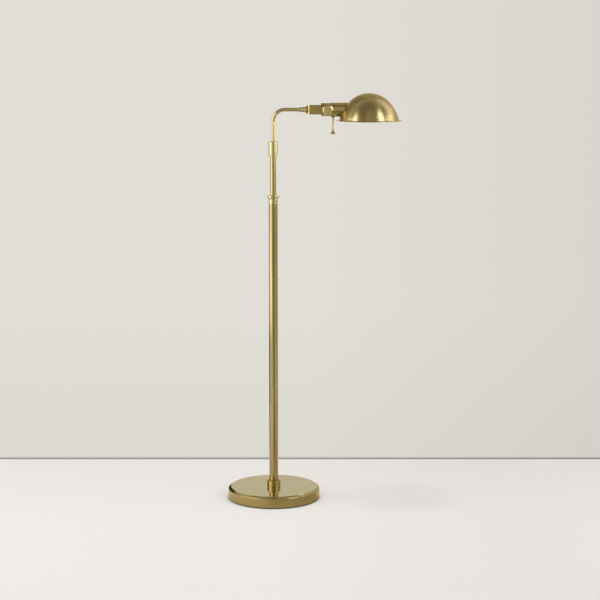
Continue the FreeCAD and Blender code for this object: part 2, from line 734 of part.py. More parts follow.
def make_knuckle_bar():
    """Flat bar with a rounded upright end, and a tongue with a round end about the pivot."""
    body = new_body("knuckle_bar", z="arm_height")
    half = "knuckle_thickness / 2"
    round_end = "knuckle_start + knuckle_thickness / 2"
    plan = sketch_on(body, "XY_Plane", "plan")
    outline(plan, [
        ("shoulder_reach", half),
        (round_end, half, half),
        ("knuckle_start", 0, half),
        (round_end, f"-{half}"),
        ("shoulder_reach", f"-{half}"),
    ])
    block = padded(body, plan, "knuckle_height", symmetric=True)
    edges = [
        f"Edge{index}" for index, edge in enumerate(block.Shape.Edges, start=1)
        if edge.BoundBox.ZLength < TOUCH < edge.BoundBox.XLength
    ]
    bevel = body.newObject("PartDesign::Chamfer", "knuckle_bar_bevel")
    bevel.Base = (block, edges)
    bevel.setExpression("Size", bound("knuckle_edge"))
    doc.recompute()
    side = sketch_on(body, "XZ_Plane", "tongue")
    tip = "pivot_reach + tongue_radius"
    outline(side, [
        ("shoulder_reach - overcut", "-tongue_radius"),
        ("pivot_reach", "-tongue_radius", "tongue_radius"),
        (tip, 0, "tongue_radius"),
        ("pivot_reach", "tongue_radius"),
        ("shoulder_reach - overcut", "tongue_radius"),
    ])
    padded(body, side, "knuckle_thickness", symmetric=True)
    wires = sketch_on(body, "YZ_Plane", "wire_bore", f"{tip} + overcut")
    round_hole(wires, 0, 0, "wire_bore / 2")
    cut_out(body, wires, f"{tip} + overcut - knuckle_start")
    seat = sketch_on(body, "YZ_Plane", "ferrule_bore", "knuckle_start - overcut")
    round_hole(seat, 0, 0, "tail_radius + fit")
    cut_out(body, seat, "tail_length + tail_gap + overcut", reverse=True)
    threads = sketch_on(body, "XZ_Plane", "screw_holes")
    round_hole(threads, "pivot_reach", 0, "pivot_thread / 2 + fit")
    cut_out(body, threads, "knuckle_thickness", symmetric=True)


def make_pivot_screw(name, side):
    """Shouldered screw with a bevelled disc head, from the front (side -1) or the back (side 1)."""
    corners = [
        ("0", "wire_bore / 2 + thread_gap"),
        ("pivot_thread / 2", "wire_bore / 2 + thread_gap"),
        ("pivot_thread / 2", "knuckle_thickness / 2 + fit"),
        ("pivot_shank / 2", "knuckle_thickness / 2 + fit"),
        ("pivot_shank / 2", "seat_depth + fit"),
        ("disc_diameter / 2", "seat_depth + fit"),
        ("disc_diameter / 2", "seat_depth + disc_thickness - disc_bevel"),
        ("disc_diameter / 2 - disc_bevel", "seat_depth + disc_thickness"),
        ("0", "seat_depth + disc_thickness"),
    ]
    if side < 0:
        corners = [(x, f"-({y})") for x, y in reversed(corners)]
    turned(name, corners, plane="XY_Plane", x="pivot_reach", z="arm_height")


def make_friction_washers():
    """Pair of washers, one each side of the tongue."""
    ring = new_body("washer_ring", x="pivot_reach", z="arm_height")
    profile = sketch_on(ring, "XZ_Plane", "ring", "knuckle_thickness / 2 + fit")
    round_hole(profile, 0, 0, "tongue_radius - pivot_washer_margin")
    round_hole(profile, 0, 0, "pivot_shank / 2 + fit")
    padded(ring, profile, "pivot_washer - fit")
    back = doc.addObject("Part::Mirroring", "washer_ring_back")
    back.Source = ring
    back.Normal = FreeCAD.Vector(0, 1, 0)
    pair = doc.addObject("Part::Compound", "friction_washers")
    pair.Links = [ring, back]
    doc.recompute()


def make_arm():
    """Everything that swivels on the riser."""
    make_swivel_spindle()
    make_arm_tube()
    make_arm_ferrule()
    make_knuckle_bar()
    make_pivot_screw("pivot_screw_front", -1)
    make_pivot_screw("pivot_screw_back", 1)
    make_friction_washers()


# ---------------------------------------------------------------- head
def make_socket_housing():
    """Turned housing: a slotted fork round the tongue, milled seats for the discs and a bored mouth."""
    body = turned("socket_housing", [
        ("fork_end", 0),
        ("cavity_start", 0),
        ("cavity_start", "cavity_radius"),
        ("housing_end", "cavity_radius"),
        ("housing_end", "housing_radius"),
        ("fork_end + housing_edge", "housing_radius"),
        ("fork_end", "housing_radius - housing_edge"),
    ], about="H_Axis", z="arm_height")
    slot = sketch_on(body, "XZ_Plane", "slot")
    outline(slot, [
        ("fork_end - overcut", "-(housing_radius + overcut)"),
        ("pivot_reach + stop_reach", "-(housing_radius + overcut)"),
        ("pivot_reach + stop_reach", "housing_radius + overcut"),
        ("fork_end - overcut", "housing_radius + overcut"),
    ])
    cut_out(body, slot, "2 * slot_half", symmetric=True)
    pocket = sketch_on(body, "XZ_Plane", "tongue_pocket")
    round_hole(pocket, "pivot_reach", 0, "pocket_radius")
    cut_out(body, pocket, "2 * slot_half", symmetric=True)
    bore = sketch_on(body, "XZ_Plane", "pivot_bore")
    round_hole(bore, "pivot_reach", 0, "pivot_shank / 2 + running")
    cut_out(body, bore, "2 * (housing_radius + overcut)", symmetric=True)
    for name, offset, reverse in (("front_seat", "seat_depth", True), ("back_seat", "-seat_depth", False)):
        seat = sketch_on(body, "XZ_Plane", name, offset)
        outline(seat, [
            ("fork_end - overcut", "-seat_radius"),
            ("pivot_reach", "-seat_radius", "seat_radius"),
            ("pivot_reach + seat_radius", 0, "seat_radius"),
            ("pivot_reach", "seat_radius"),
            ("fork_end - overcut", "seat_radius"),
        ])
        cut_out(body, seat, "housing_radius - seat_depth + overcut", reverse=reverse)
    hole = sketch_on(body, "XY_Plane", "stem_hole")
    round_hole(hole, "switch_reach", 0, "stem_bush_radius + fit")
    cut_out(body, hole, "housing_radius + overcut")


def make_switch_block():
    """Rotary switch body across the housing, with a bore for the stem and a seat for its bush."""
    block = tube_section("block_start", "holder_start", 0, "holder_radius")
    body = turned("switch_block", block, about="H_Axis", z="arm_height")
    bush = sketch_on(body, "XY_Plane", "bush_seat", "stem_bush_depth - housing_radius")
    round_hole(bush, "switch_reach", 0, "stem_bush_radius + fit")
    cut_out(body, bush, "housing_radius")
    bore = sketch_on(body, "XY_Plane", "stem_bore", "stem_top_gap - stem_top")
    round_hole(bore, "switch_reach", 0, "stem_diameter / 2 + running")
    cut_out(body, bore, "housing_radius")


def make_stem_bush():
    """Flanged bush that carries the switch stem through the housing's wall."""
    bore = "stem_diameter / 2 + running"
    flange = "stem_bush_radius + stem_flange_proud"
    flange_under = "-(housing_radius + stem_flange_thickness)"
    turned("switch_bush", [
        (bore, flange_under),
        (f"{flange} - stem_bush_edge", flange_under),
        (flange, f"{flange_under} + stem_bush_edge"),
        (flange, "-housing_radius"),
        ("stem_bush_radius", "-housing_radius"),
        ("stem_bush_radius", "stem_bush_depth - housing_radius"),
        (bore, "stem_bush_depth - housing_radius"),
    ], x="switch_reach", z="arm_height")


def make_lampholder():
    """Cup of the lampholder with its threaded shell, contact and the ring that keeps it in the mouth."""
    well = "holder_start + holder_floor"
    turned("lampholder", [
        ("holder_start", 0),
        (well, 0),
        (well, "shell_radius + fit"),
        ("holder_end", "shell_radius + fit"),
        ("holder_end", "holder_radius"),
        ("holder_start", "holder_radius"),
    ], about="H_Axis", z="arm_height")
    shell = tube_section(well, "holder_end - shell_recess", "shell_radius - shell_wall", "shell_radius")
    turned("screw_shell", shell, about="H_Axis", z="arm_height")
    turned("centre_contact", [
        (well, 0),
        ("cap_start", 0),
        ("cap_start", "contact_tip_diameter / 2"),
        (well, "contact_diameter / 2"),
    ], about="H_Axis", z="arm_height")
    ring_bore = "shell_radius + holder_ring_margin"
    ring = tube_section("holder_end", "holder_end + holder_ring_length", ring_bore, "holder_radius")
    turned("holder_ring", ring, about="H_Axis", z="arm_height")


def make_shade():
    """Spun dome with a flared rim, and a round hole for the housing in its side."""
    dome = "dome_diameter / 2"
    crown_centre = "(crown_height - crown_bend)"
    inner_height = f"{crown_centre} + (shoulder_height - {crown_centre}) * crown_share"
    body = turned("shade", [
        (f"{dome} - shade_sheet", 0),
        ("rim_radius", 0),
        ("rim_radius", "shade_sheet"),
        ("rim_radius - rim_land", "shade_sheet", "-rim_rise"),
        (dome, "rim_rise", "side_bend"),
        ("shoulder_radius", "shoulder_height", "crown_bend"),
        (0, "crown_height"),
        (0, "crown_height - shade_sheet", "-(crown_bend - shade_sheet)"),
        ("shoulder_radius * crown_share", inner_height, "-(side_bend - shade_sheet)"),
        (f"{dome} - shade_sheet", "rim_rise"),
    ], x="shade_reach", z="rim_height")
    hole = sketch_on(body, "YZ_Plane", "housing_hole")
    round_hole(hole, 0, "rim_drop", "housing_radius + fit")
    cut_out(body, hole, "rim_radius")


def make_bulb():
    """Screw cap and frosted glass of the bulb."""
    cap_side = "cap_start + cap_tip_length"
    turned("bulb_cap", [
        ("cap_start", 0),
        ("cap_start", "contact_tip_diameter / 2"),
        (cap_side, "cap_radius"),
        ("cap_end", "cap_radius"),
        ("cap_end", "cap_radius - cap_wall"),
        (f"{cap_side} + cap_wall", "cap_radius - cap_wall"),
        (f"{cap_side} + cap_wall", 0),
    ], about="H_Axis", z="arm_height")
    neck = "cap_radius - cap_wall - fit"
    neck_start = "cap_end - glass_neck_length"
    neck_end = "cap_end + glass_neck_land"
    widest = "glass_diameter / 2"
    tip = "cap_start + glass_length"
    ball = "cap_start + glass_length - glass_diameter / 2"
    side = swell(f"sqrt(({ball} - ({neck_end})) ^ 2 + ({widest} - ({neck})) ^ 2)", "glass_hollow")
    turned("bulb_glass", [
        (neck_start, f"{neck} - glass_wall"),
        (neck_start, neck),
        (neck_end, neck, side),
        (ball, widest, "-glass_diameter / 2"),
        (tip, 0),
        (f"{tip} - glass_wall", 0, "glass_diameter / 2 - glass_wall"),
        (ball, f"{widest} - glass_wall", f"-({side} + glass_wall)"),
        (neck_end, f"{neck} - glass_wall"),
    ], about="H_Axis", z="arm_height")


def make_head():
    """Everything that tilts on the arm."""
    make_socket_housing()
    make_switch_block()
    make_stem_bush()
    make_lampholder()
    make_shade()
    make_bulb()


def make_switch():
    """Stem of the turn switch and its trumpet knob."""
    stem = tube_section(0, "stem_diameter / 2", "stem_bottom", "arm_height - stem_top")
    turned("switch_stem", stem, x="switch_reach")
    foot = "stem_bottom - knob_floor"
    top = "stem_bottom - knob_floor + knob_height"
    bore = "stem_diameter / 2 + fit"
    waist = "stem_diameter / 2 + fit + knob_wall"
    bead_edge = f"{waist} + knob_bead_proud - knob_bead_round"
    trumpet_rise = "knob_height - knob_bead_height - knob_rim"
    trumpet = swell(f"sqrt(({trumpet_rise}) ^ 2 + (knob_diameter / 2 - ({waist})) ^ 2)", "knob_hollow")
    turned("switch_knob", [
        (0, foot),
        ("knob_diameter / 2 - knob_edge", foot),
        ("knob_diameter / 2", f"{foot} + knob_edge"),
        ("knob_diameter / 2", f"{foot} + knob_rim", f"-{trumpet}"),
        (waist, f"{top} - knob_bead_height"),
        (bead_edge, f"{top} - knob_bead_height", swell("knob_bead_height", "knob_bead_round")),
        (bead_edge, top),
        (bore, top),
        (bore, "stem_bottom - fit"),
        (0, "stem_bottom - fit"),
    ], x="switch_reach")


def write_parts():
    """Checks every object, then writes one STEP file per piece."""
    doc.recompute()
    for thing in doc.Objects:
        if {"Invalid", "Error"} & set(thing.State):
            raise ValueError(f"{thing.Label} failed: {thing.State}")
    pieces = [
        thing for thing in doc.Objects
        if thing.TypeId in ("PartDesign::Body", "Part::Compound") and thing.Label != "washer_ring"
    ]
    for piece in pieces:
        if piece.Shape.isNull() or not piece.Shape.isValid():
            raise ValueError(f"{piece.Label} has no valid shape")
    os.makedirs("parts", exist_ok=True)
    for piece in pieces:
        piece.Shape.exportStep(f"parts/{piece.Label}.step")
        print(f"{piece.Label}: {len(piece.Shape.Solids)} solid(s), {piece.Shape.Volume / 1000:.2f} cm3")


make_base()
make_column()
make_riser()
make_arm()
make_head()
make_switch()
write_parts()
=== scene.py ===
import json
import math

import bmesh
import bpy
from bpy.props import FloatProperty, FloatVectorProperty, PointerProperty
from mathutils import Matrix, Vector


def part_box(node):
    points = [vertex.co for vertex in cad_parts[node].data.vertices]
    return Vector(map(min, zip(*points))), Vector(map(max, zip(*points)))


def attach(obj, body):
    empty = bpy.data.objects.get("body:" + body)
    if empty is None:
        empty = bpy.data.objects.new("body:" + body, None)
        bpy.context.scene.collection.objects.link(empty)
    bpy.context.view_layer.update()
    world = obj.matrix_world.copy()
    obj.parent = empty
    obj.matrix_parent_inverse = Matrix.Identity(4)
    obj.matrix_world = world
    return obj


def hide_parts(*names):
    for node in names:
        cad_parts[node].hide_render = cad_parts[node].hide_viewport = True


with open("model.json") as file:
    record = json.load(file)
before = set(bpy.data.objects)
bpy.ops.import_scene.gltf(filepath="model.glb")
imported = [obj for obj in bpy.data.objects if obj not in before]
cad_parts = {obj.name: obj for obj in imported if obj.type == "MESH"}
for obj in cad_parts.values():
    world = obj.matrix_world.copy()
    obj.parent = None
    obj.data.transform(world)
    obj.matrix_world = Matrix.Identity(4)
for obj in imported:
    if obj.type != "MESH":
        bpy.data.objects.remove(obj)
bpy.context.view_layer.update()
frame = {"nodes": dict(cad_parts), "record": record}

bl_info = {
    "name": "Bridge floor lamp",
    "version": (1, 0, 0),
    "blender": (4, 5, 0),
    "location": "3D View > Sidebar > Lamp",
    "description": "Builds a brass bridge floor lamp round its CAD frame, with its finishes and studio",
    "category": "Object",
}

AROUND = 160  # steps of a full turn
ARC_STEPS = 12  # steps of an arc in a section
SHARP = math.radians(24)  # edges that turn by more than this are broken
WELD = 1e-6
FINE = 0.0002  # rounding of small turned edges
PLAY = 0.0001  # between the spindle and its collar
WASHER = 0.0005  # under the spindle
UP, ALONG, ACROSS = (0, 0, 1), (1, 0, 0), (0, 1, 0)


# ---------------------------------------------------------------- settings
def length(name, millimetres, description):
    """Size in metres, with its default given in millimetres."""
    return FloatProperty(
        name=name, description=description, default=millimetres / 1000,
        min=0, precision=5, unit="LENGTH", subtype="DISTANCE",
    )


def tint(name, red, green, blue, description):
    """Linear colour."""
    return FloatVectorProperty(
        name=name, description=description, default=(red, green, blue),
        min=0, max=1, size=3, subtype="COLOR",
    )


def share(name, value, description):
    """Number from nought to one."""
    return FloatProperty(name=name, description=description, default=value, min=0, max=1, subtype="FACTOR")


class LampBaseSizes(bpy.types.PropertyGroup):
    """Sizes of the base."""

    bevel_width: length("Bevel width", 7.0, "Ring between the plate and the wall, seen from above")
    bevel_height: length("Bevel height", 3.4, "Drop from the plate to the wall")
    step_run: length("Step run", 1.8, "Width of the steep step at the plate's edge")
    step_drop: length("Step drop", 1.9, "Height of the steep step at the plate's edge")
    bevel_hollow: length("Bevel hollow", 0.15, "How far the bevel's land sinks in")
    lip: length("Lip", 2.1, "Rounded corner between the land and the wall")
    sheet: length("Sheet", 1.2, "Thickness of the spun cover")
    hole: length("Hole", 5.0, "Radius of the hole for the nipple")
    edge: length("Edge", 0.35, "Rounding of the cover's edges")
    inlet_bore: length("Inlet bore", 3.6, "Radius of the bore for the lead")
    inlet_body: length("Inlet body", 5.0, "Radius of the inlet's body")
    inlet_flange: length("Inlet flange", 2.4, "Thickness of the inlet's flange")


class LampColumnSizes(bpy.types.PropertyGroup):
    """Sizes of the column and its rings."""

    wall: length("Wall", 1.2, "Thickness of the column tube")
    chamfer: length("Foot chamfer", 0.9, "Bevel on the foot collar")
    bead_height: length("Bead height", 2.4, "Lowest ring")
    bead_proud: length("Bead", 0.8, "How far the lowest ring stands out")
    neck_proud: length("Neck", 0.1, "How far the neck stands out")
    ring_start: length("Ring start", 9.7, "From the tube's end to the middle ring")
    ring_height: length("Ring height", 4.2, "Middle ring")
    ring_proud: length("Ring", 1.5, "How far the middle ring stands out")
    ring_round: length("Ring rounding", 0.8, "Swell of the middle ring's face")
    groove: length("Groove", 0.8, "Between the middle ring and the flange")
    flange_height: length("Flange height", 5.2, "Top flange")
    flange_round: length("Flange rounding", 1.4, "Round edge of the flange")
    lip_bore: length("Lip bore", 8.4, "Radius of the hole round the riser")
    lip_height: length("Lip height", 3.4, "Closes the ring over its bush")


class LampArmSizes(bpy.types.PropertyGroup):
    """Sizes of the riser's collar, the bent tube, the ferrule and the knuckle."""

    collar_round: length("Collar rounding", 1.3, "Round edges of the arm collar")
    spindle_sink: length("Spindle sink", 0.9, "Spindle's top below the collar's")
    tube_radius: length("Tube radius", 4.8, "Outside of the bent tube")
    tube_wall: length("Tube wall", 1.0, "Thickness of the bent tube")
    bend_radius: length("Bend radius", 31.0, "Middle line of the quarter bend")
    waist: length("Waist", 5.4, "Ferrule's radius between its beads")
    bead_length: length("Bead length", 6.2, "Each of the ferrule's beads")
    bead_one: length("First bead", 0.9, "Rise of the bead by the tube")
    bead_two: length("Second bead", 1.5, "Rise of the bead by the cup")
    waist_length: length("Waist length", 1.2, "Between the two beads")
    flare_length: length("Flare length", 4.8, "From the second bead to the cup")
    cup_rim: length("Cup rim", 2.2, "From the cup's edge to the bar")
    cup_radius: length("Cup radius", 10.4, "Widest part of the ferrule")
    cup_seat: length("Cup seat", 7.6, "Radius of the cup where it meets the bar")
    cup_hollow: length("Cup hollow", 0.6, "How far the flare sinks in")
    cup_sink: length("Cup sink", 2.5, "How far the cup's seat is let into the bar's round end")
    bar_length: length("Bar length", 37.0, "From the ferrule to the tongue's shoulder")
    nose: length("Nose", 8.4, "Length of the bar's round end")
    bar_edge: length("Bar edge", 0.7, "Bevel along the bar")
    tongue: length("Tongue", 8.35, "Half the tongue's height")
    disc_thickness: length("Disc thickness", 3.6, "Head of each pivot screw")
    disc_bevel: length("Disc bevel", 2.3, "Width of the disc's bevelled rim")
    disc_fall: length("Disc fall", 1.15, "Drop of the disc's bevelled rim")
    shank: length("Shank", 4.0, "Radius of the pivot screw's shoulder")


class LampHeadSizes(bpy.types.PropertyGroup):
    """Sizes of the housing and what it carries."""

    slot_half: length("Slot", 7.4, "Half the width of the fork's slot")
    slot_depth: length("Slot depth", 6.0, "How far the slot goes past the pivot")
    pocket: length("Pocket", 9.1, "Radius of the pocket round the tongue")
    seat_depth: length("Seat depth", 15.87, "From the axis to the milled seat of a disc")
    seat_radius: length("Seat radius", 13.15, "Milled seat round a disc")
    mouth: length("Mouth", 15.4, "Radius of the bore at the lampholder's end")
    edge: length("Edge", 0.5, "Bevel at the fork's end")
    bore_depth: length("Bore depth", 49.0, "From the mouth to the end of the bore")


class LampShadeSizes(bpy.types.PropertyGroup):
    """Sizes of the shade."""

    dome: length("Dome", 77.2, "Radius where the dome meets its rim")
    rim_land: length("Rim land", 4.8, "Flat width of the rim")
    rim_rise: length("Rim rise", 3.5, "Height of the flare under the dome")
    shoulder: length("Shoulder", 52.4, "Radius where the side meets the crown")
    shoulder_height: length("Shoulder height", 48.2, "Above the rim's underside")
    sheet: length("Sheet", 1.1, "Thickness of the spun shade")


class LampBulbSizes(bpy.types.PropertyGroup):
    """Sizes of the lampholder and the bulb."""

    well: length("Well", 11.8, "Depth of the lampholder's floor")
    bore: length("Bore", 13.45, "Radius of the lampholder's bore")
    holder_edge: length("Holder edge", 0.6, "Rounding of the lampholder's edges")
    ring_bore: length("Ring bore", 13.7, "Radius of the hole in the lampholder's ring")
    tip: length("Tip", 2.6, "Length of the cap's cone")
    tip_radius: length("Tip radius", 2.5, "Radius of the cap's contact")
    cap_wall: length("Cap wall", 0.5, "Thickness of the cap")
    cap_land: length("Cap land", 2.4, "Plain metal at the cap's mouth")
    pitch: length("Pitch", 3.6, "From one turn of the thread to the next")
    neck: length("Neck", 12.25, "Radius of the glass in the cap")
    neck_land: length("Neck land", 1.0, "Straight glass outside the cap")
    neck_length: length("Neck length", 20.0, "Glass inside the cap")
    hollow: length("Hollow", 3.8, "How far the neck's side sinks in")
    wall: length("Wall", 0.8, "Thickness of the glass")
    thread: length("Thread", 0.8, "Depth of the cap's rolled thread")


class LampSwitchSizes(bpy.types.PropertyGroup):
    """Sizes of the switch."""

    stem: length("Stem", 2.2, "Radius of the stem")
    play: length("Play", 0.15, "Between the stem and its bush")
    flange: length("Flange", 1.8, "Thickness of the bush's flange")
    waist: length("Waist", 2.6, "Radius of the knob under its bead")
    bead_height: length("Bead height", 1.8, "Small bead on the knob")
    bead_round: length("Bead rounding", 0.5, "Swell of the bead")
    rim: length("Rim", 1.5, "Straight side of the knob's foot")
    edge: length("Edge", 0.5, "Rounded edge of the knob's foot")
    hollow: length("Hollow", 1.2, "How far the trumpet sinks in")


class LampFinishes(bpy.types.PropertyGroup):
    """Colours of the finishes."""

    brass: tint("Brass", 0.565, 0.485, 0.22, "Clean brass")
    aged: tint("Aged brass", 0.49, 0.385, 0.15, "Brass under old lacquer")
    dark: tint("Dark brass", 0.29, 0.21, 0.07, "Brass where it has darkened most")
    edge: tint("Edge", 0.85, 0.74, 0.46, "Brass seen at a glancing angle")
    # painted shade: this dark colour also darkens corners and creases where shade falls, besides dust spots
    grime: tint("Grime", 0.05, 0.038, 0.018, "Old polish and dust in the corners")
    felt: tint("Felt", 0.022, 0.021, 0.02, "Felt under the base")
    glass: tint("Glass", 0.93, 0.92, 0.88, "Frosted bulb")
    cast_iron: tint("Cast iron", 0.07, 0.068, 0.065, "Weight inside the base")
    black_bakelite: tint("Bakelite", 0.03, 0.028, 0.025, "Inlet bush and switch body")
    zinc_steel: tint("Zinc", 0.6, 0.6, 0.58, "Nut, washer and nipple")
    dark_steel: tint("Dark steel", 0.09, 0.09, 0.09, "Grub screw")
    white_nylon: tint("Nylon", 0.8, 0.78, 0.72, "Bushes inside the tubes")
    red_fibre: tint("Fibre", 0.32, 0.08, 0.05, "Washers in the knuckle")
    glazed_porcelain: tint("Porcelain", 0.85, 0.84, 0.79, "Lampholder")
    cap_aluminium: tint("Aluminium", 0.78, 0.78, 0.78, "Cap of the bulb")


class LampStudio(bpy.types.PropertyGroup):
    """Colours of the floor and backdrop, and the backdrop's distance."""

    floor: tint("Floor", 0.80, 0.785, 0.765, "Colour of the floor")
    wall: tint("Wall", 0.753, 0.73, 0.68, "Colour of the backdrop")
    wall_distance: length("Wall distance", 410.0, "From the column to the backdrop")


# ---------------------------------------------------------------- shapes
def arc_points(start, end, rise):
    """Points of an arc between two corners without the last. It bulges to the right for a rise above nought."""
    way = end - start
    radius = (way.length_squared / 4 + rise * rise) / (2 * rise)
    left = Vector((-way.y, way.x)).normalized()
    centre = (start + end) / 2 + left * (radius - rise)
    turn = 4 * math.atan(2 * rise / way.length) / ARC_STEPS
    return [centre + Matrix.Rotation(turn * step, 2) @ (start - centre) for step in range(ARC_STEPS)]


def rise_of(start, end, radius):
    """Rise of an arc of that radius between two corners, with the radius's sign."""
    half = math.dist(start, end) / 2
    return math.copysign(abs(radius) - math.sqrt(max(radius * radius - half * half, 0)), radius)


def break_edges(mesh, offset, segments=2):
    """Rounds every sharp edge."""
    sharp = [edge for edge in mesh.edges if edge.is_manifold and edge.calc_face_angle(0) > SHARP]
    bmesh.ops.bevel(
        mesh, geom=sharp, offset=offset, offset_type="OFFSET", segments=segments,
        profile=0.5, affect="EDGES", clamp_overlap=True, material=-1,
    )


def turned_mesh(corners, axis=UP, at=(0, 0, 0), soft=0.0003, around=AROUND):
    """Half section of (radius, level) corners spun about an axis. A third value is the rise of an arc to the next."""
    mesh = bmesh.new()
    points = []
    for corner, following in zip(corners, corners[1:] + corners[:1]):
        start, end = Vector(corner[:2]), Vector(following[:2])
        points += arc_points(start, end, corner[2]) if len(corner) > 2 else [start]
    dots = [mesh.verts.new((point.x, 0, point.y)) for point in points]
    lines = [
        mesh.edges.new((one, other)) for one, other in zip(dots, dots[1:] + dots[:1])
        if one.co.x > WELD or other.co.x > WELD
    ]
    bmesh.ops.spin(
        mesh, geom=dots + lines, cent=(0, 0, 0), axis=UP, dvec=(0, 0, 0),
        angle=math.tau, steps=around, use_merge=True,
    )
    bmesh.ops.remove_doubles(mesh, verts=mesh.verts, dist=WELD)
    bmesh.ops.recalc_face_normals(mesh, faces=mesh.faces)
    if soft:
        break_edges(mesh, soft)
    if axis == ALONG:
        bmesh.ops.rotate(mesh, verts=mesh.verts, matrix=Matrix.Rotation(math.pi / 2, 3, "Y"))
    if axis == ACROSS:
        bmesh.ops.rotate(mesh, verts=mesh.verts, matrix=Matrix.Rotation(-math.pi / 2, 3, "X"))
    bmesh.ops.translate(mesh, verts=mesh.verts, vec=at)
    return mesh


def tube_corners(inner, outer, bottom, top):
    """Half section of a plain tube."""
    return [(inner, bottom), (outer, bottom), (outer, top), (inner, top)]


def add_object(name, mesh):
    """Object at the origin from a bmesh, shaded smooth."""
    data = bpy.data.meshes.new(name)
    mesh.to_mesh(data)
    mesh.free()
    data.shade_smooth()
    thing = bpy.data.objects.new(name, data)
    bpy.context.scene.collection.objects.link(thing)
    return thing


def finish_piece(thing, material, *nodes):
    """Gives a piece its material and its body, hides the CAD nodes that it stands for, and evens out its shading."""
    thing.data.materials.append(material)
    even = thing.modifiers.new("even_shading", "WEIGHTED_NORMAL")
    even.keep_sharp = True
    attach(thing, body_of(nodes[0]))
    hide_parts(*nodes)
    return thing


def body_of(node):
    """Body that a CAD node rides on."""
    return next(body for body, members in frame["record"]["behaviour"]["bodies"].items() if node in members)


def slot_of(node):
    """Record slot of a CAD node."""
    return next(part["material_slot"] for part in frame["record"]["subparts"] if part["node"] == node)


def add_turned(name, corners, material, *nodes, **how):
    """Turned piece that stands for CAD nodes."""
    return finish_piece(add_object(name, turned_mesh(corners, **how)), material, *nodes)


def carve(thing, *cutters, operation="DIFFERENCE"):
    """Cuts bmesh shapes out of an object, or joins them to it, and leaves the result in its mesh."""
    for cutter in cutters:
        tool = add_object("cutter", cutter)
        cut = thing.modifiers.new("cut", "BOOLEAN")
        cut.operation = operation
        cut.solver = "EXACT"
        cut.object = tool
        view = bpy.context.evaluated_depsgraph_get()
        carved = bpy.data.meshes.new_from_object(thing.evaluated_get(view))
        thing.modifiers.remove(cut)
        thing.data = carved
        bpy.data.objects.remove(tool)


def box_mesh(low, high):
    """Plain block between two corners, for cutting."""
    mesh = bmesh.new()
    bmesh.ops.create_cube(mesh, size=1)
    low, high = Vector(low), Vector(high)
    bmesh.ops.scale(mesh, verts=mesh.verts, vec=high - low)
    bmesh.ops.translate(mesh, verts=mesh.verts, vec=(low + high) / 2)
    return mesh


def prism_mesh(corners, way):
    """Flat outline drawn out along a way."""
    mesh = bmesh.new()
    face = mesh.faces.new([mesh.verts.new(corner) for corner in corners])
    drawn = bmesh.ops.extrude_face_region(mesh, geom=[face])["geom"]
    bmesh.ops.translate(mesh, verts=[part for part in drawn if isinstance(part, bmesh.types.BMVert)], vec=way)
    bmesh.ops.recalc_face_normals(mesh, faces=mesh.faces)
    return mesh


def rod_mesh(radius, start, end, axis, at):
    """Plain rod, for cutting."""
    return turned_mesh([(0, start), (radius, start), (radius, end), (0, end)], axis, at, 0, 96)


# ---------------------------------------------------------------- materials
def feed(tree, socket, value):
    """Links a socket to another, or gives it a value."""
    if isinstance(value, bpy.types.NodeSocket):
        tree.links.new(value, socket)
    else:
        socket.default_value = value


def set_inputs(node, values):
    """Gives a node's sockets their values by name."""
    for label, value in values.items():
        node.inputs[label].default_value = value


def add_node(tree, kind, inputs=None, **settings):
    """New node with its settings, values and links."""
    made = tree.nodes.new(kind)
    for name, value in settings.items():
        setattr(made, name, value)
    for name, value in (inputs or {}).items():
        feed(tree, made.inputs[name], value)
    return made


def arithmetic(tree, operation, *values, clamp=False):
    """Output of a Math node."""
    made = add_node(tree, "ShaderNodeMath", dict(enumerate(values)), operation=operation, use_clamp=clamp)
    return made.outputs[0]


def vectors(tree, operation, *values):
    """Vector Math node."""
    return add_node(tree, "ShaderNodeVectorMath", dict(enumerate(values)), operation=operation)


def between(tree, value, low, high, new_low=0.0, new_high=1.0):
    """A value's range stretched to another one."""
    made = add_node(tree, "ShaderNodeMapRange", {
        "Value": value, "From Min": low, "From Max": high, "To Min": new_low, "To Max": new_high,
    })
    return made.outputs[0]


def blend(tree, factor, one, other, kind="MIX"):
    """Colour mixed from one to the other."""
    made = add_node(tree, "ShaderNodeMix", {0: factor}, data_type="RGBA", blend_type=kind)
    for socket, value in ((made.inputs[6], one), (made.inputs[7], other)):
        feed(tree, socket, value if isinstance(value, bpy.types.NodeSocket) else (*value, 1))
    return made.outputs[2]


def new_group(name, takes, gives):
    """Empty shader group, its input sockets and a function that links its outputs."""
    group = bpy.data.node_groups.new(name, "ShaderNodeTree")
    for label, kind, value in takes:
        socket = group.interface.new_socket(label, in_out="INPUT", socket_type=kind)
        if value is not None:
            socket.default_value = value
    for label, kind in gives:
        group.interface.new_socket(label, in_out="OUTPUT", socket_type=kind)
    ins = group.nodes.new("NodeGroupInput")
    outs = group.nodes.new("NodeGroupOutput")
    return group, ins.outputs, lambda label, socket: group.links.new(socket, outs.inputs[label])


FLOAT, VECTOR, COLOUR = "NodeSocketFloat", "NodeSocketVector", "NodeSocketColor"


def patina_group():
    """Clouds of darkened lacquer with small spots in them."""
    group, takes, give = new_group(
        "patina", [("Vector", VECTOR, None), ("Scale", FLOAT, 20.0), ("Spots", FLOAT, 0.3)],
        [("Clouds", FLOAT), ("Spots", FLOAT)])
    broad = add_node(group, "ShaderNodeTexNoise", {
        "Vector": takes["Vector"], "Scale": takes["Scale"], "Detail": 6.0, "Roughness": 0.62, "Distortion": 0.4})
    give("Clouds", between(group, broad.outputs[0], 0.32, 0.7))
    finer = arithmetic(group, "MULTIPLY", takes["Scale"], 14.0)
    specks = add_node(group, "ShaderNodeTexNoise", {"Vector": takes["Vector"], "Scale": finer, "Detail": 3.0})
    found = between(group, specks.outputs[0], 0.66, 0.74)
    give("Spots", arithmetic(group, "MULTIPLY", found, takes["Spots"]))
    return group


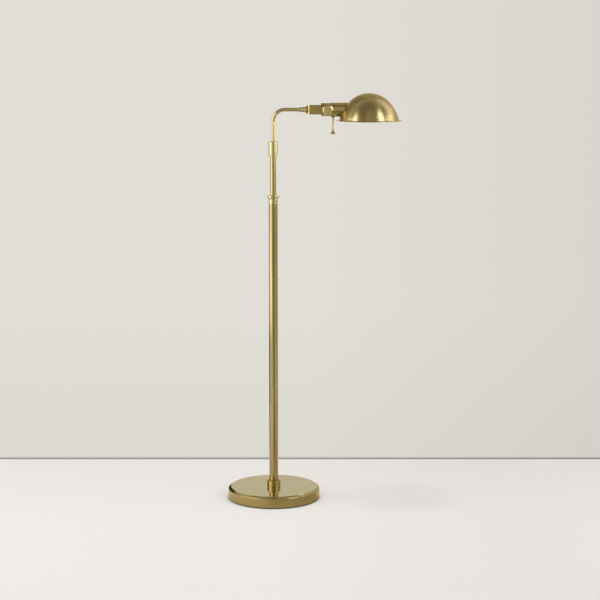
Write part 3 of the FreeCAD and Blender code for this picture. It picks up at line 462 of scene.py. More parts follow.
def lathe_group():
    """Fine rings left by turning: they change along the axis and outwards from it."""
    group, takes, give = new_group(
        "lathe_lines", [("Along", FLOAT, 0.0), ("Outwards", FLOAT, 0.0), ("Pitch", FLOAT, 0.0004)],
        [("Fine", FLOAT), ("Broad", FLOAT)])
    run = arithmetic(group, "MULTIPLY_ADD", takes["Outwards"], 0.93, takes["Along"])
    fine = arithmetic(group, "DIVIDE", run, takes["Pitch"])
    rings = add_node(group, "ShaderNodeTexNoise", {"W": fine, "Scale": 1.0, "Detail": 2.0}, noise_dimensions="1D")
    give("Fine", rings.outputs[0])
    bands = arithmetic(group, "MULTIPLY", fine, 0.11)
    slow = add_node(group, "ShaderNodeTexNoise", {"W": bands, "Scale": 1.0, "Detail": 3.0}, noise_dimensions="1D")
    give("Broad", slow.outputs[0])
    return group


def scratch_group():
    """Faint hairlines from wiping, in two directions."""
    group, takes, give = new_group(
        "hairlines", [("Vector", VECTOR, None), ("Density", FLOAT, 900.0)], [("Lines", FLOAT)])
    found = []
    for turn in ((0.3, 0.2, 0.9), (-0.5, 0.8, -0.4)):
        turned = add_node(group, "ShaderNodeMapping", {
            "Vector": takes["Vector"], "Rotation": turn, "Scale": (1, 0.03, 1)})
        lines = add_node(group, "ShaderNodeTexNoise", {
            "Vector": turned.outputs[0], "Scale": takes["Density"], "Detail": 1.0})
        found.append(between(group, lines.outputs[0], 0.68, 0.78))
    give("Lines", arithmetic(group, "MAXIMUM", *found))
    return group


def grime_group():
    """Where dust and old polish gather, and painted shade: corners that see little of the room are darkened."""
    group, takes, give = new_group("grime", [("Distance", FLOAT, 0.004), ("Amount", FLOAT, 1.0)], [("Mask", FLOAT)])
    corners = add_node(group, "ShaderNodeAmbientOcclusion", {"Distance": takes["Distance"]}, samples=8)
    spots = add_node(group, "ShaderNodeTexCoord")
    uneven = add_node(group, "ShaderNodeTexNoise", {"Vector": spots.outputs["Object"], "Scale": 260.0, "Detail": 3.0})
    shaded_corners = between(group, corners.outputs["AO"], 0.75, 0.15)
    patchy = between(group, uneven.outputs[0], 0.3, 0.65, 0.55, 1.0)
    give("Mask", arithmetic(group, "MULTIPLY", arithmetic(group, "MULTIPLY", shaded_corners, patchy), takes["Amount"]))
    return group


def wear_group():
    """Where hands and cloths have rubbed: edges that stand out."""
    group, takes, give = new_group("wear", [("Radius", FLOAT, 0.0008), ("Amount", FLOAT, 1.0)], [("Mask", FLOAT)])
    soft = add_node(group, "ShaderNodeBevel", {"Radius": takes["Radius"]}, samples=4)
    face = add_node(group, "ShaderNodeNewGeometry")
    alike = vectors(group, "DOT_PRODUCT", soft.outputs[0], face.outputs["Normal"])
    edge = between(group, alike.outputs["Value"], 0.985, 0.9)
    give("Mask", arithmetic(group, "MULTIPLY", edge, takes["Amount"]))
    return group


GROUP_MAKERS = {
    "patina": patina_group, "lathe_lines": lathe_group, "hairlines": scratch_group, "grime": grime_group,
    "wear": wear_group,
}


def use_group(tree, name, inputs=None):
    """Node of a shared effect, built the first time."""
    group = bpy.data.node_groups.get(name) or GROUP_MAKERS[name]()
    made = tree.nodes.new("ShaderNodeGroup")
    made.node_tree = group
    for label, value in (inputs or {}).items():
        feed(tree, made.inputs[label], value)
    return made.outputs


def new_material(name):
    """Material with its tree, its shader and its object coordinates."""
    material = bpy.data.materials.new(name)
    material.use_nodes = True
    tree = material.node_tree
    spots = add_node(tree, "ShaderNodeTexCoord").outputs["Object"]
    return material, tree, tree.nodes["Principled BSDF"], spots


def brass(name, axis, centre, clean, aged, roughness, spread, anisotropy, lines, clouds=18.0, coat=0.5,
          coat_roughness=0.08, banding=0.45, drawn=1.0, edge=1.0, grime_and_shade_amount=1.0, grime_and_shade_reach=0.004, specks=0.3,
          wiped=1.0):
    """Lacquered brass turned about an axis through a point.

    spread is how much the age darkens it, lines and banding are the lathe's marks in relief and in colour, drawn
    stretches the clouds along the axis, edge is the share of the edge's tint, and wiped is the share of hairlines.
    """
    finishes = bpy.context.scene.lamp_finishes
    material, tree, shader, spots = new_material(name)
    placed = vectors(tree, "SUBTRACT", spots, centre).outputs[0]
    along = vectors(tree, "DOT_PRODUCT", placed, axis).outputs["Value"]
    level = add_node(tree, "ShaderNodeVectorMath", {0: axis, "Scale": along}, operation="SCALE").outputs[0]
    outwards = vectors(tree, "SUBTRACT", placed, level).outputs[0]
    distance = vectors(tree, "LENGTH", outwards).outputs["Value"]
    way = vectors(tree, "SUBTRACT", vectors(tree, "NORMALIZE", outwards).outputs[0], axis).outputs[0]
    grain = add_node(
        tree, "ShaderNodeVectorTransform", {"Vector": way}, vector_type="VECTOR", convert_from="OBJECT",
        convert_to="WORLD")
    tree.links.new(grain.outputs[0], shader.inputs["Tangent"])
    stretch = [drawn if part else 1.0 for part in axis]
    pulled = vectors(tree, "MULTIPLY", spots, stretch).outputs[0]
    patina = use_group(tree, "patina", {"Vector": pulled, "Scale": clouds, "Spots": specks})
    rings = use_group(tree, "lathe_lines", {"Along": along, "Outwards": distance})
    hair = use_group(tree, "hairlines", {"Vector": spots})
    dust_and_shade = use_group(tree, "grime", {"Amount": grime_and_shade_amount, "Distance": grime_and_shade_reach})
    brightened = use_group(tree, "wear")
    age = arithmetic(tree, "MULTIPLY_ADD", rings["Broad"], banding, arithmetic(tree, "MULTIPLY", patina["Clouds"], 0.6))
    age = arithmetic(tree, "MULTIPLY", age, spread, clamp=True)
    colour = blend(tree, age, clean, aged)
    colour = blend(tree, patina["Spots"], colour, finishes.grime)
    colour = blend(tree, arithmetic(tree, "MULTIPLY", brightened["Mask"], 0.5), colour, finishes.brass)
    # painted shade: corners and creases darken by how little of the room they see, partly real dust
    colour = blend(tree, dust_and_shade["Mask"], colour, finishes.grime)
    tree.links.new(colour, shader.inputs["Base Color"])
    rough = between(tree, patina["Clouds"], 0.0, 1.0, roughness * 0.85, roughness * 1.25)
    rough = arithmetic(tree, "MULTIPLY_ADD", hair["Lines"], 0.06 * wiped, rough)
    rough = arithmetic(tree, "MULTIPLY_ADD", dust_and_shade["Mask"], 0.4, rough, clamp=True)
    tree.links.new(rough, shader.inputs["Roughness"])
    turning = arithmetic(tree, "MULTIPLY", rings["Fine"], lines)
    height = arithmetic(tree, "MULTIPLY_ADD", hair["Lines"], -0.15 * wiped, turning)
    bump = add_node(tree, "ShaderNodeBump", {"Height": height, "Strength": 0.25, "Distance": 0.00002})
    tree.links.new(bump.outputs[0], shader.inputs["Normal"])
    set_inputs(shader, {
        "Metallic": 1.0, "Anisotropic": anisotropy, "Coat Weight": coat, "Coat Roughness": coat_roughness,
        "Coat IOR": 1.6, "Specular Tint": (*[1 - edge * (1 - channel) for channel in finishes.edge], 1),
    })
    return material


def plain(name, colour, roughness, metallic=0.0, grain=400.0, relief=0.00005, uneven=0.25, coat=0.0):
    """Moulded, cast or pressed stuff: an uneven colour and gloss, and a grain in relief."""
    finishes = bpy.context.scene.lamp_finishes
    material, tree, shader, spots = new_material(name)
    patina = use_group(tree, "patina", {"Vector": spots, "Scale": grain * 0.12})
    pits = add_node(tree, "ShaderNodeTexNoise", {"Vector": spots, "Scale": grain, "Detail": 4.0})
    dust_and_shade = use_group(tree, "grime")
    shade = blend(tree, arithmetic(tree, "MULTIPLY", patina["Clouds"], uneven), colour, finishes.grime)
    # painted shade: corners darken by how little of the room they see, partly real dust
    tree.links.new(blend(tree, dust_and_shade["Mask"], shade, finishes.grime), shader.inputs["Base Color"])
    gloss = between(tree, pits.outputs[0], 0.3, 0.7, roughness * 0.8, min(roughness * 1.2, 1.0))
    tree.links.new(gloss, shader.inputs["Roughness"])
    bump = add_node(tree, "ShaderNodeBump", {"Height": pits.outputs[0], "Strength": 0.6, "Distance": relief})
    tree.links.new(bump.outputs[0], shader.inputs["Normal"])
    set_inputs(shader, {"Metallic": metallic, "Coat Weight": coat})
    return material


def felt(name, colour):
    """Short matted fibres."""
    material, tree, shader, spots = new_material(name)
    fibres = add_node(tree, "ShaderNodeTexNoise", {"Vector": spots, "Scale": 1800.0, "Detail": 5.0, "Distortion": 1.5})
    tufts = add_node(tree, "ShaderNodeTexNoise", {"Vector": spots, "Scale": 160.0, "Detail": 3.0})
    pale = [min(channel * 2.6 + 0.01, 1) for channel in colour]
    shade = blend(tree, between(tree, fibres.outputs[0], 0.35, 0.75), colour, pale)
    shade = blend(tree, between(tree, tufts.outputs[0], 0.35, 0.7, 0.0, 0.4), shade, colour)
    tree.links.new(shade, shader.inputs["Base Color"])
    height = arithmetic(tree, "MULTIPLY_ADD", tufts.outputs[0], 0.7, fibres.outputs[0])
    bump = add_node(tree, "ShaderNodeBump", {"Height": height, "Strength": 0.9, "Distance": 0.0003})
    tree.links.new(bump.outputs[0], shader.inputs["Normal"])
    set_inputs(shader, {"Roughness": 0.95, "Sheen Weight": 0.5, "Sheen Roughness": 0.5, "Specular IOR Level": 0.1})
    return material


def frosted(name, colour):
    """Glass etched inside: milky, with a faint unevenness."""
    material, tree, shader, spots = new_material(name)
    cloud = add_node(tree, "ShaderNodeTexNoise", {"Vector": spots, "Scale": 60.0, "Detail": 4.0})
    warm = [channel * shade for channel, shade in zip(colour, (0.97, 0.95, 0.9))]
    tree.links.new(blend(tree, cloud.outputs[0], colour, warm), shader.inputs["Base Color"])
    gloss = between(tree, cloud.outputs[0], 0.3, 0.7, 0.34, 0.46)
    tree.links.new(gloss, shader.inputs["Roughness"])
    etch = add_node(tree, "ShaderNodeTexNoise", {"Vector": spots, "Scale": 2500.0, "Detail": 2.0})
    bump = add_node(tree, "ShaderNodeBump", {"Height": etch.outputs[0], "Strength": 0.3, "Distance": 0.00003})
    tree.links.new(bump.outputs[0], shader.inputs["Normal"])
    set_inputs(shader, {"Transmission Weight": 0.45, "IOR": 1.45, "Coat Weight": 0.3, "Coat Roughness": 0.05})
    return material


def finish(kind, axis=UP, centre=(0, 0, 0)):
    """Material of that kind for a piece turned about an axis through a point, made once."""
    colours = bpy.context.scene.lamp_finishes
    way = {UP: "upright", ALONG: "level", ACROSS: "cross"}[axis]
    spot = "_".join(str(round(1000 * value)) for value in centre if abs(value) > WELD)
    turned = kind in BRASS
    name = "_".join(part for part in (kind, way if turned else "", spot if turned else "") if part).replace("-", "m")
    if name in bpy.data.materials:
        return bpy.data.materials[name]
    if turned:
        recipe = dict(BRASS[kind])
        clean, aged = recipe.pop("between")
        return brass(name, axis, centre, getattr(colours, clean), getattr(colours, aged), **recipe)
    if kind == "black_felt":
        return felt(name, colours.felt)
    if kind == "frosted_glass":
        return frosted(name, colours.glass)
    return plain(name, getattr(colours, kind), **PLAIN[kind])


# Recipes of the brass finishes: which two colours it ages between, its gloss, and how its marks run.
BRASS = {
    "plate_brass": dict(
        between=("brass", "aged"), roughness=0.07, spread=0.35, anisotropy=0.0, lines=0.15, clouds=9.0, coat=0.0,
        banding=0.2, edge=0.0, specks=0.1),
    "side_brass": dict(between=("aged", "dark"), roughness=0.24, spread=0.8, anisotropy=0.5, lines=0.5, clouds=14.0),
    "collar_brass": dict(
        between=("brass", "aged"), roughness=0.18, spread=0.7, anisotropy=0.4, lines=0.05, banding=0.2, coat=1.0,
        wiped=0.1),
    "turned_brass": dict(
        between=("aged", "dark"), roughness=0.2, spread=0.65, anisotropy=0.5, lines=0.5, banding=0.2, edge=1.3),
    "knuckle_brass": dict(
        between=("aged", "dark"), roughness=0.22, spread=1.1, anisotropy=0.4, lines=0.3, banding=0.1, grime_and_shade_amount=0.2),
    # painted highlight: cleaner, glossier brass on the knuckle's round nose, so that it shows a bright band
    "nose_brass": dict(
        between=("brass", "aged"), roughness=0.12, spread=0.3, anisotropy=0.0, lines=0.1, banding=0.1, coat=0.8,
        edge=0.5, grime_and_shade_amount=0.0),
    "column_brass": dict(
        between=("aged", "dark"), roughness=0.16, spread=1.3, anisotropy=0.4, lines=0.02, clouds=30.0, banding=0.05,
        drawn=0.08, specks=0.0, edge=1.3, wiped=0.1),
    "tube_brass": dict(
        between=("aged", "dark"), roughness=0.15, spread=0.5, anisotropy=0.4, lines=0.02, clouds=30.0, banding=0.05,
        drawn=0.08, specks=0.0, edge=1.3, wiped=0.1),
    "arm_brass": dict(
        between=("brass", "aged"), roughness=0.15, spread=0.4, anisotropy=0.4, lines=0.0, clouds=30.0, banding=0.05,
        drawn=0.3, specks=0.0, edge=1.2, wiped=0.1, coat=0.8),
    "foot_brass": dict(
        between=("aged", "dark"), roughness=0.3, spread=1.0, anisotropy=0.3, lines=0.4, banding=0.2, edge=1.2, coat=0.2),
    # painted shade: the large amount of corner darkening paints a dark line into the crease between the dome and its
    # rim
    "dome_brass": dict(
        between=("aged", "dark"), roughness=0.3, spread=0.75, anisotropy=0.6, lines=1.0, clouds=14.0,
        coat=0.9, coat_roughness=0.2, edge=1.5, specks=0.08, grime_and_shade_amount=3.0,
        grime_and_shade_reach=0.007),
    "shell_brass": dict(between=("brass", "aged"), roughness=0.22, spread=0.4, anisotropy=0.0, lines=0.3),
}
PLAIN = {
    "cast_iron": dict(roughness=0.75, grain=500.0, relief=0.0003, uneven=0.4),
    "black_bakelite": dict(roughness=0.38, grain=900.0, uneven=0.1, coat=0.3),
    "zinc_steel": dict(roughness=0.35, metallic=1.0, grain=700.0, uneven=0.2),
    "dark_steel": dict(roughness=0.42, metallic=1.0, grain=900.0, uneven=0.3),
    "white_nylon": dict(roughness=0.5, grain=600.0, relief=0.00002, uneven=0.05),
    "red_fibre": dict(roughness=0.7, grain=800.0, relief=0.0001, uneven=0.2),
    "glazed_porcelain": dict(roughness=0.14, grain=120.0, relief=0.00002, uneven=0.03, coat=0.5),
    "cap_aluminium": dict(roughness=0.3, metallic=1.0, grain=900.0, relief=0.00002, uneven=0.1),
}


# ---------------------------------------------------------------- pieces
def arm_level():
    """Height of the axis of the arm's level run and of the head."""
    low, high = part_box("knuckle_bar")
    return (low.z + high.z) / 2


class LAMP_OT_base(bpy.types.Operator):
    """Spun cover, felt and inlet bush of the base"""

    bl_idname = "lamp.base"
    bl_label = "Base"

    def execute(self, context):
        sizes = context.scene.lamp_base
        low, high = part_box("base_cover")
        radius, top, bottom = high.x, high.z, low.z
        plate, under = radius - sizes.bevel_width, top - sizes.sheet
        wall_top, inside = top - sizes.bevel_height, radius - sizes.sheet
        bend = rise_of((0, 0), (sizes.lip, sizes.lip), sizes.lip)
        cover = add_object("cover", turned_mesh([
            (sizes.hole, under),
            (plate, under - sizes.step_drop),
            (inside, wall_top - sizes.sheet),
            (inside, bottom),
            (radius, bottom),
            (radius, wall_top - sizes.lip, bend),
            (radius - sizes.lip, wall_top, -sizes.bevel_hollow),
            (plate + sizes.step_run, top - sizes.step_drop),
            (plate, top),
            (sizes.hole, top),
        ], soft=sizes.edge))
        inlet_low, inlet_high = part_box("cord_bushing")
        level = (inlet_low.z + inlet_high.z) / 2
        carve(cover, rod_mesh(sizes.inlet_body, radius / 2, radius * 2, ACROSS, (0, 0, level)))
        finish_piece(cover, finish("plate_brass"), "base_cover")
        cover.data.materials.append(finish("side_brass"))
        for face in cover.data.polygons:
            outside = math.hypot(*face.center[:2]) > inside and face.center.z < wall_top - sizes.lip
            face.material_index = 1 if outside or face.center.z < under else 0
        felt_low, felt_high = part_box("base_felt")
        disc = [(0, felt_low.z), (felt_high.x, felt_low.z), (felt_high.x, felt_high.z), (0, felt_high.z)]
        add_turned("felt_disc", disc, finish("black_felt"), "base_felt", soft=sizes.edge)
        flange_start = inlet_high.y - sizes.inlet_flange
        flange = inlet_high.x
        add_turned("inlet_bush", [
            (sizes.inlet_bore, inlet_low.y),
            (sizes.inlet_body, inlet_low.y),
            (sizes.inlet_body, flange_start),
            (flange, flange_start),
            (flange, flange_start + sizes.inlet_flange / 2),
            (sizes.inlet_body, inlet_high.y),
            (sizes.inlet_bore, inlet_high.y),
        ], finish("black_bakelite"), "cord_bushing", axis=ACROSS, at=(0, 0, level))
        return {"FINISHED"}


class LAMP_OT_column(bpy.types.Operator):
    """Foot collar, column tube and top ring"""

    bl_idname = "lamp.column"
    bl_label = "Column"

    def execute(self, context):
        sizes = context.scene.lamp_column
        low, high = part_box("outer_tube")
        radius, foot, top = high.x, low.z, high.z
        bore = radius - sizes.wall
        add_turned("column", tube_corners(bore, radius, foot, top), finish("column_brass"), "outer_tube")
        low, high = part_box("foot_collar")
        add_turned("foot", [
            (radius, low.z),
            (high.x, low.z),
            (high.x, high.z - sizes.chamfer),
            (high.x - sizes.chamfer, high.z),
            (radius, high.z),
        ], finish("foot_brass"), "foot_collar")
        low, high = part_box("top_ring")
        flange, bottom, crest = high.x, low.z, high.z
        neck = radius + sizes.neck_proud
        bead = radius + sizes.bead_proud
        ring = radius + sizes.ring_proud
        ring_start, ring_end = top + sizes.ring_start, top + sizes.ring_start + sizes.ring_height
        round_ = sizes.flange_round
        bend = rise_of((0, 0), (round_, round_), round_)
        add_turned("ring", [
            (sizes.lip_bore, crest - sizes.lip_height),
            (sizes.lip_bore, crest),
            (flange - round_, crest, -bend),
            (flange, crest - round_),
            (flange, crest - sizes.flange_height + round_, -bend),
            (flange - round_, crest - sizes.flange_height),
            (neck, crest - sizes.flange_height),
            (neck, ring_end),
            (ring - sizes.ring_round, ring_end, -sizes.ring_round),
            (ring - sizes.ring_round, ring_start),
            (neck, ring_start),
            (neck, top + sizes.bead_height),
            (bead, top + sizes.bead_height, 0.0001),
            (bead, top),
            (bore, top),
            (bore, bottom),
            (bore - sizes.wall, bottom),
            (bore - sizes.wall, crest - sizes.lip_height),
        ], finish("collar_brass"), "top_ring", soft=0.00015)
        return {"FINISHED"}


class LAMP_OT_riser(bpy.types.Operator):
    """Sliding tube and the arm's collar"""

    bl_idname = "lamp.riser"
    bl_label = "Riser"

    def execute(self, context):
        sizes = context.scene.lamp_arm
        low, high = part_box("inner_tube")
        add_turned("riser", tube_corners(high.x - sizes.tube_wall, high.x, low.z, high.z),
                   finish("tube_brass"), "inner_tube")
        radius = high.x
        low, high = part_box("arm_collar")
        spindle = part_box("swivel_spindle")
        round_ = sizes.collar_round
        bend = rise_of((0, 0), (round_, round_), round_)
        add_turned("collar", [
            (radius, low.z),
            (high.x - round_, low.z, bend),
            (high.x, low.z + round_),
            (high.x, high.z - round_, bend),
            (high.x - round_, high.z),
            (spindle[1].x + PLAY, high.z),
            (spindle[1].x + PLAY, spindle[0].z - WASHER),
            (radius, spindle[0].z - WASHER),
        ], finish("collar_brass"), "arm_collar")
        return {"FINISHED"}


class LAMP_OT_arm(bpy.types.Operator):
    """Spindle, bent tube, ferrule, knuckle and pivot discs"""

    bl_idname = "lamp.arm"
    bl_label = "Arm"

    def execute(self, context):
        sizes = context.scene.lamp_arm
        low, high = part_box("swivel_spindle")
        add_turned("spindle", tube_corners(sizes.tube_radius, high.x, low.z, high.z), finish("turned_brass"),
                   "swivel_spindle", soft=0.0005)
        self.add_tube(sizes)
        self.add_ferrule(sizes)
        self.add_knuckle(sizes)
        return {"FINISHED"}

    def add_tube(self, sizes):
        """Round section taken up, round the bend and along."""
        low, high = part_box("arm_tube")
        level = high.z - sizes.tube_radius
        mesh = bmesh.new()
        bmesh.ops.create_circle(mesh, segments=64, radius=sizes.tube_radius)
        bmesh.ops.translate(mesh, verts=mesh.verts, vec=(0, 0, low.z))
        edges = list(mesh.edges)
        rise = bmesh.ops.extrude_edge_only(mesh, edges=edges)["geom"]
        ring = [part for part in rise if isinstance(part, bmesh.types.BMVert)]
        bmesh.ops.translate(mesh, verts=ring, vec=(0, 0, level - sizes.bend_radius - low.z))
        edges = [part for part in rise if isinstance(part, bmesh.types.BMEdge)]
        bent = bmesh.ops.spin(
            mesh, geom=ring + edges, cent=(sizes.bend_radius, 0, level - sizes.bend_radius), axis=ACROSS,
            dvec=(0, 0, 0), angle=math.pi / 2, steps=32, use_merge=False,
        )["geom_last"]
        edges = [part for part in bent if isinstance(part, bmesh.types.BMEdge)]
        run = bmesh.ops.extrude_edge_only(mesh, edges=edges)["geom"]
        ring = [part for part in run if isinstance(part, bmesh.types.BMVert)]
        bmesh.ops.translate(mesh, verts=ring, vec=(high.x - sizes.bend_radius, 0, 0))
        bmesh.ops.recalc_face_normals(mesh, faces=mesh.faces)
        thing = add_object("bent_tube", mesh)
        wall = thing.modifiers.new("wall", "SOLIDIFY")
        wall.thickness = sizes.tube_wall
        wall.offset = -1
        finish_piece(thing, finish("arm_brass"), "arm_tube")

    def add_ferrule(self, sizes):
        """Two beads and a flared cup about the level axis."""
        start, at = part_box("knuckle_bar")[0].x, (0, 0, arm_level())
        cup_start = start - sizes.cup_rim
        two_end = cup_start - sizes.flare_length
        two_start = two_end - sizes.bead_length
        one_end = two_start - sizes.waist_length
        one_start = one_end - sizes.bead_length
        add_turned("ferrule", [
            (sizes.tube_radius, one_start),
            (sizes.waist, one_start, sizes.bead_one),
            (sizes.waist, one_end),
            (sizes.waist, two_start, sizes.bead_two),
            (sizes.waist, two_end, -sizes.cup_hollow),
            (sizes.cup_radius, cup_start),
            (sizes.cup_radius, cup_start + sizes.cup_rim / 3),
            (sizes.cup_seat, start),
            (sizes.cup_seat, start + sizes.cup_sink),
            (sizes.tube_radius, start + sizes.cup_sink),
        ], finish("knuckle_brass", ALONG, at), "arm_ferrule", axis=ALONG, at=at, soft=FINE)

    def add_knuckle(self, sizes):
        """Flat bar with a round upright end and a tongue, and the two discs."""
        low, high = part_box("knuckle_bar")
        level, half = arm_level(), high.y
        shoulder = low.x + sizes.bar_length
        pivot = high.x - sizes.tongue
        nose = [math.pi * step / 24 for step in range(25)]
        block = [(low.x + sizes.nose * (1 - math.sin(angle)), -half * math.cos(angle)) for angle in nose]
        block = [(x, y, low.z) for x, y in [(shoulder, -half), *block, (shoulder, half)]]
        block = prism_mesh(block, (0, 0, high.z - low.z))
        break_edges(block, sizes.bar_edge)
        thing = add_object("knuckle", block)
        tongue = [(pivot + sizes.tongue * math.sin(angle), level - sizes.tongue * math.cos(angle)) for angle in nose]
        root = shoulder - sizes.tongue
        tongue = [(root, level - sizes.tongue), *tongue, (root, level + sizes.tongue)]
        tongue = prism_mesh([(x, -half, z) for x, z in tongue], (0, 2 * half, 0))
        break_edges(tongue, sizes.bar_edge / 2)
        carve(thing, tongue, operation="UNION")
        finish_piece(thing, finish("knuckle_brass", ALONG, (0, 0, level)), "knuckle_bar")
        thing.data.materials.append(finish("nose_brass", ALONG, (0, 0, level)))
        # painted highlight: the round nose's side faces get the brighter brass
        for face in thing.data.polygons:
            brightened = face.normal.x < -0.1 and abs(face.normal.y) > 0.1 and face.center.x < low.x + sizes.nose
            face.material_index = 1 if brightened else 0
        for name, side in (("front", -1), ("back", 1)):
            node = f"pivot_screw_{name}"
            low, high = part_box(node)
            outer = max(abs(low.y), abs(high.y))
            inner = min(abs(low.y), abs(high.y))
            radius = (high.x - low.x) / 2
            seat = outer - sizes.disc_thickness
            corners = [
                (0, inner), (sizes.shank, inner), (sizes.shank, seat), (radius, seat),
                (radius, outer - sizes.disc_fall), (radius - sizes.disc_bevel, outer), (0, outer),
            ]
            corners = [(r, side * y) for r, y in corners]
            at = (pivot, 0, level)
            add_turned(f"pivot_disc_{name}", corners, finish("collar_brass", ACROSS, at), node, axis=ACROSS, at=at,
                       soft=FINE)


class LAMP_OT_head(bpy.types.Operator):
    """Forked housing and switch bush"""

    bl_idname = "lamp.head"
    bl_label = "Head"

    def execute(self, context):
        sizes = context.scene.lamp_head
        low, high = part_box("socket_housing")
        level, radius = (low.z + high.z) / 2, high.y
        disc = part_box("pivot_screw_front")
        pivot = (disc[0].x + disc[1].x) / 2
        cavity = high.x - sizes.bore_depth
        housing = add_object("housing", turned_mesh([
            (0, low.x), (radius - sizes.edge, low.x), (radius, low.x + sizes.edge), (radius, high.x),
            (sizes.mouth, high.x), (sizes.mouth, cavity), (0, cavity),
        ], axis=ALONG, at=(0, 0, level), soft=FINE))
        far = radius * 2
        cutters = [
            box_mesh((low.x - far, -sizes.slot_half, level - far),
                     (pivot + sizes.slot_depth, sizes.slot_half, level + far)),
            rod_mesh(sizes.pocket, -sizes.slot_half, sizes.slot_half, ACROSS, (pivot, 0, level)),
        ]
        for side in (-1, 1):
            ends = sorted((side * sizes.seat_depth, side * far))
            cutters.append(rod_mesh(sizes.seat_radius, *ends, ACROSS, (pivot, 0, level)))
            cutters.append(box_mesh(
                (low.x - far, ends[0], level - sizes.seat_radius), (pivot, ends[1], level + sizes.seat_radius)))
        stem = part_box("switch_stem")
        reach = (stem[0].x + stem[1].x) / 2
        bush_low, bush_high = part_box("switch_bush")
        bush = bush_high.x - reach - 0.001
        cutters.append(rod_mesh(bush, level - far, level, UP, (reach, 0, 0)))
        carve(housing, *cutters)
        finish_piece(housing, finish("turned_brass", ALONG, (0, 0, arm_level())), "socket_housing")
        switch = context.scene.lamp_switch
        flange, bore = bush_high.x - reach, switch.stem + switch.play
        under = bush_low.z
        add_turned("bush", [
            (bore, under), (flange, under), (flange, under + switch.flange), (bush, under + switch.flange),
            (bush, bush_high.z), (bore, bush_high.z),
        ], finish("turned_brass"), "switch_bush", at=(reach, 0, 0))
        return {"FINISHED"}


class LAMP_OT_shade(bpy.types.Operator):
    """Spun dome with its flared rim"""

    bl_idname = "lamp.shade"
    bl_label = "Shade"

    def execute(self, context):
        sizes = context.scene.lamp_shade
        low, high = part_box("shade")
        centre = (low.x + high.x) / 2
        rim, bottom, top = high.y, low.z, high.z - low.z
        drop = top - sizes.shoulder_height
        crown = (sizes.shoulder ** 2 + drop ** 2) / (2 * drop)
        run, rise = sizes.dome - sizes.shoulder, sizes.shoulder_height - sizes.rim_rise
        lean = rise * (crown - drop) - run * sizes.shoulder
        side = (run ** 2 + rise ** 2) * crown / (2 * lean)
        sheet = sizes.sheet
        inner = 1 - sheet / crown
        inner_shoulder = (sizes.shoulder * inner, top - crown + (sizes.shoulder_height - top + crown) * inner)
        land = (rim - sizes.rim_land, sheet)
        foot = (sizes.dome, sizes.rim_rise)
        shoulder = (sizes.shoulder, sizes.shoulder_height)
        inner_foot = (sizes.dome - sheet, sizes.rim_rise)
        dome = add_object("dome", turned_mesh([
            (sizes.dome - sheet, 0),
            (rim, 0),
            (rim, sheet),
            (*land, -0.0004),
            (*foot, rise_of(foot, shoulder, side)),
            (*shoulder, rise_of(shoulder, (0, top), crown)),
            (0, top),
            (0, top - sheet, rise_of((0, top - sheet), inner_shoulder, -(crown - sheet))),
            (*inner_shoulder, rise_of(inner_shoulder, inner_foot, -(side - sheet))),
            inner_foot,
        ], at=(centre, 0, bottom), soft=0.0003, around=192))
        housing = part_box("socket_housing")
        level = (housing[0].z + housing[1].z) / 2
        carve(dome, rod_mesh(housing[1].y, centre - rim * 2, centre, ALONG, (0, 0, level)))
        finish_piece(dome, finish("dome_brass", UP, (centre, 0, 0)), "shade")
        return {"FINISHED"}


class LAMP_OT_bulb(bpy.types.Operator):
    """Lampholder with its ring, and the frosted bulb in its screw cap"""

    bl_idname = "lamp.bulb"
    bl_label = "Bulb"

    def execute(self, context):
        sizes = context.scene.lamp_bulb
        level = arm_level()
        self.add_holder(sizes, level)
        self.add_cap(sizes, level)
        low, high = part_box("bulb_glass")
        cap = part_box("bulb_cap")
        level, widest = (low.z + high.z) / 2, high.y
        neck_end = cap[1].x + sizes.neck_land
        ball = high.x - widest
        inner = sizes.neck - sizes.wall
        quarter = rise_of((widest, 0), (0, widest), widest)
        add_turned("glass", [
            (inner, low.x), (sizes.neck, low.x),
            (sizes.neck, neck_end, -sizes.hollow),
            (widest, ball, quarter),
            (0, high.x),
            (0, high.x - sizes.wall, -quarter),
            (widest - sizes.wall, ball, sizes.hollow),
            (inner, neck_end),
        ], finish("frosted_glass"), "bulb_glass", axis=ALONG, at=(0, 0, level), soft=0.0001)
        return {"FINISHED"}

    def add_holder(self, sizes, level):
        """Glazed cup and the ring in front of it."""
        low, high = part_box("lampholder")
        add_turned("holder", [
            (0, low.x), (high.y, low.x), (high.y, high.x), (sizes.bore, high.x), (sizes.bore, low.x + sizes.well),
            (0, low.x + sizes.well),
        ], finish("glazed_porcelain"), "lampholder", axis=ALONG, at=(0, 0, level), soft=sizes.holder_edge)
        low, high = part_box("holder_ring")
        add_turned("holder_rim", tube_corners(sizes.ring_bore, high.y, low.x, high.x),
                   finish(slot_of("holder_ring"), ALONG, (0, 0, level)), "holder_ring", axis=ALONG, at=(0, 0, level),
                   soft=sizes.holder_edge / 2)

    def add_cap(self, sizes, level):
        """Thin cap with the turns of a rolled thread."""
        low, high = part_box("bulb_cap")
        side, land, root = low.x + sizes.tip, high.x - sizes.cap_land, high.y - sizes.thread
        turns = int((land - side) / sizes.pitch)
        rolls = [(root, side + sizes.pitch * turn, sizes.thread) for turn in range(turns)]
        inner = root - sizes.cap_wall
        add_turned("cap", [
            (0, low.x), (sizes.tip_radius, low.x), *rolls, (root, side + sizes.pitch * turns), (high.y, land),
            (high.y, high.x), (high.y - sizes.cap_wall, high.x), (inner, side + sizes.cap_wall),
            (0, side + sizes.cap_wall),
        ], finish("cap_aluminium"), "bulb_cap", axis=ALONG, at=(0, 0, level), soft=0)


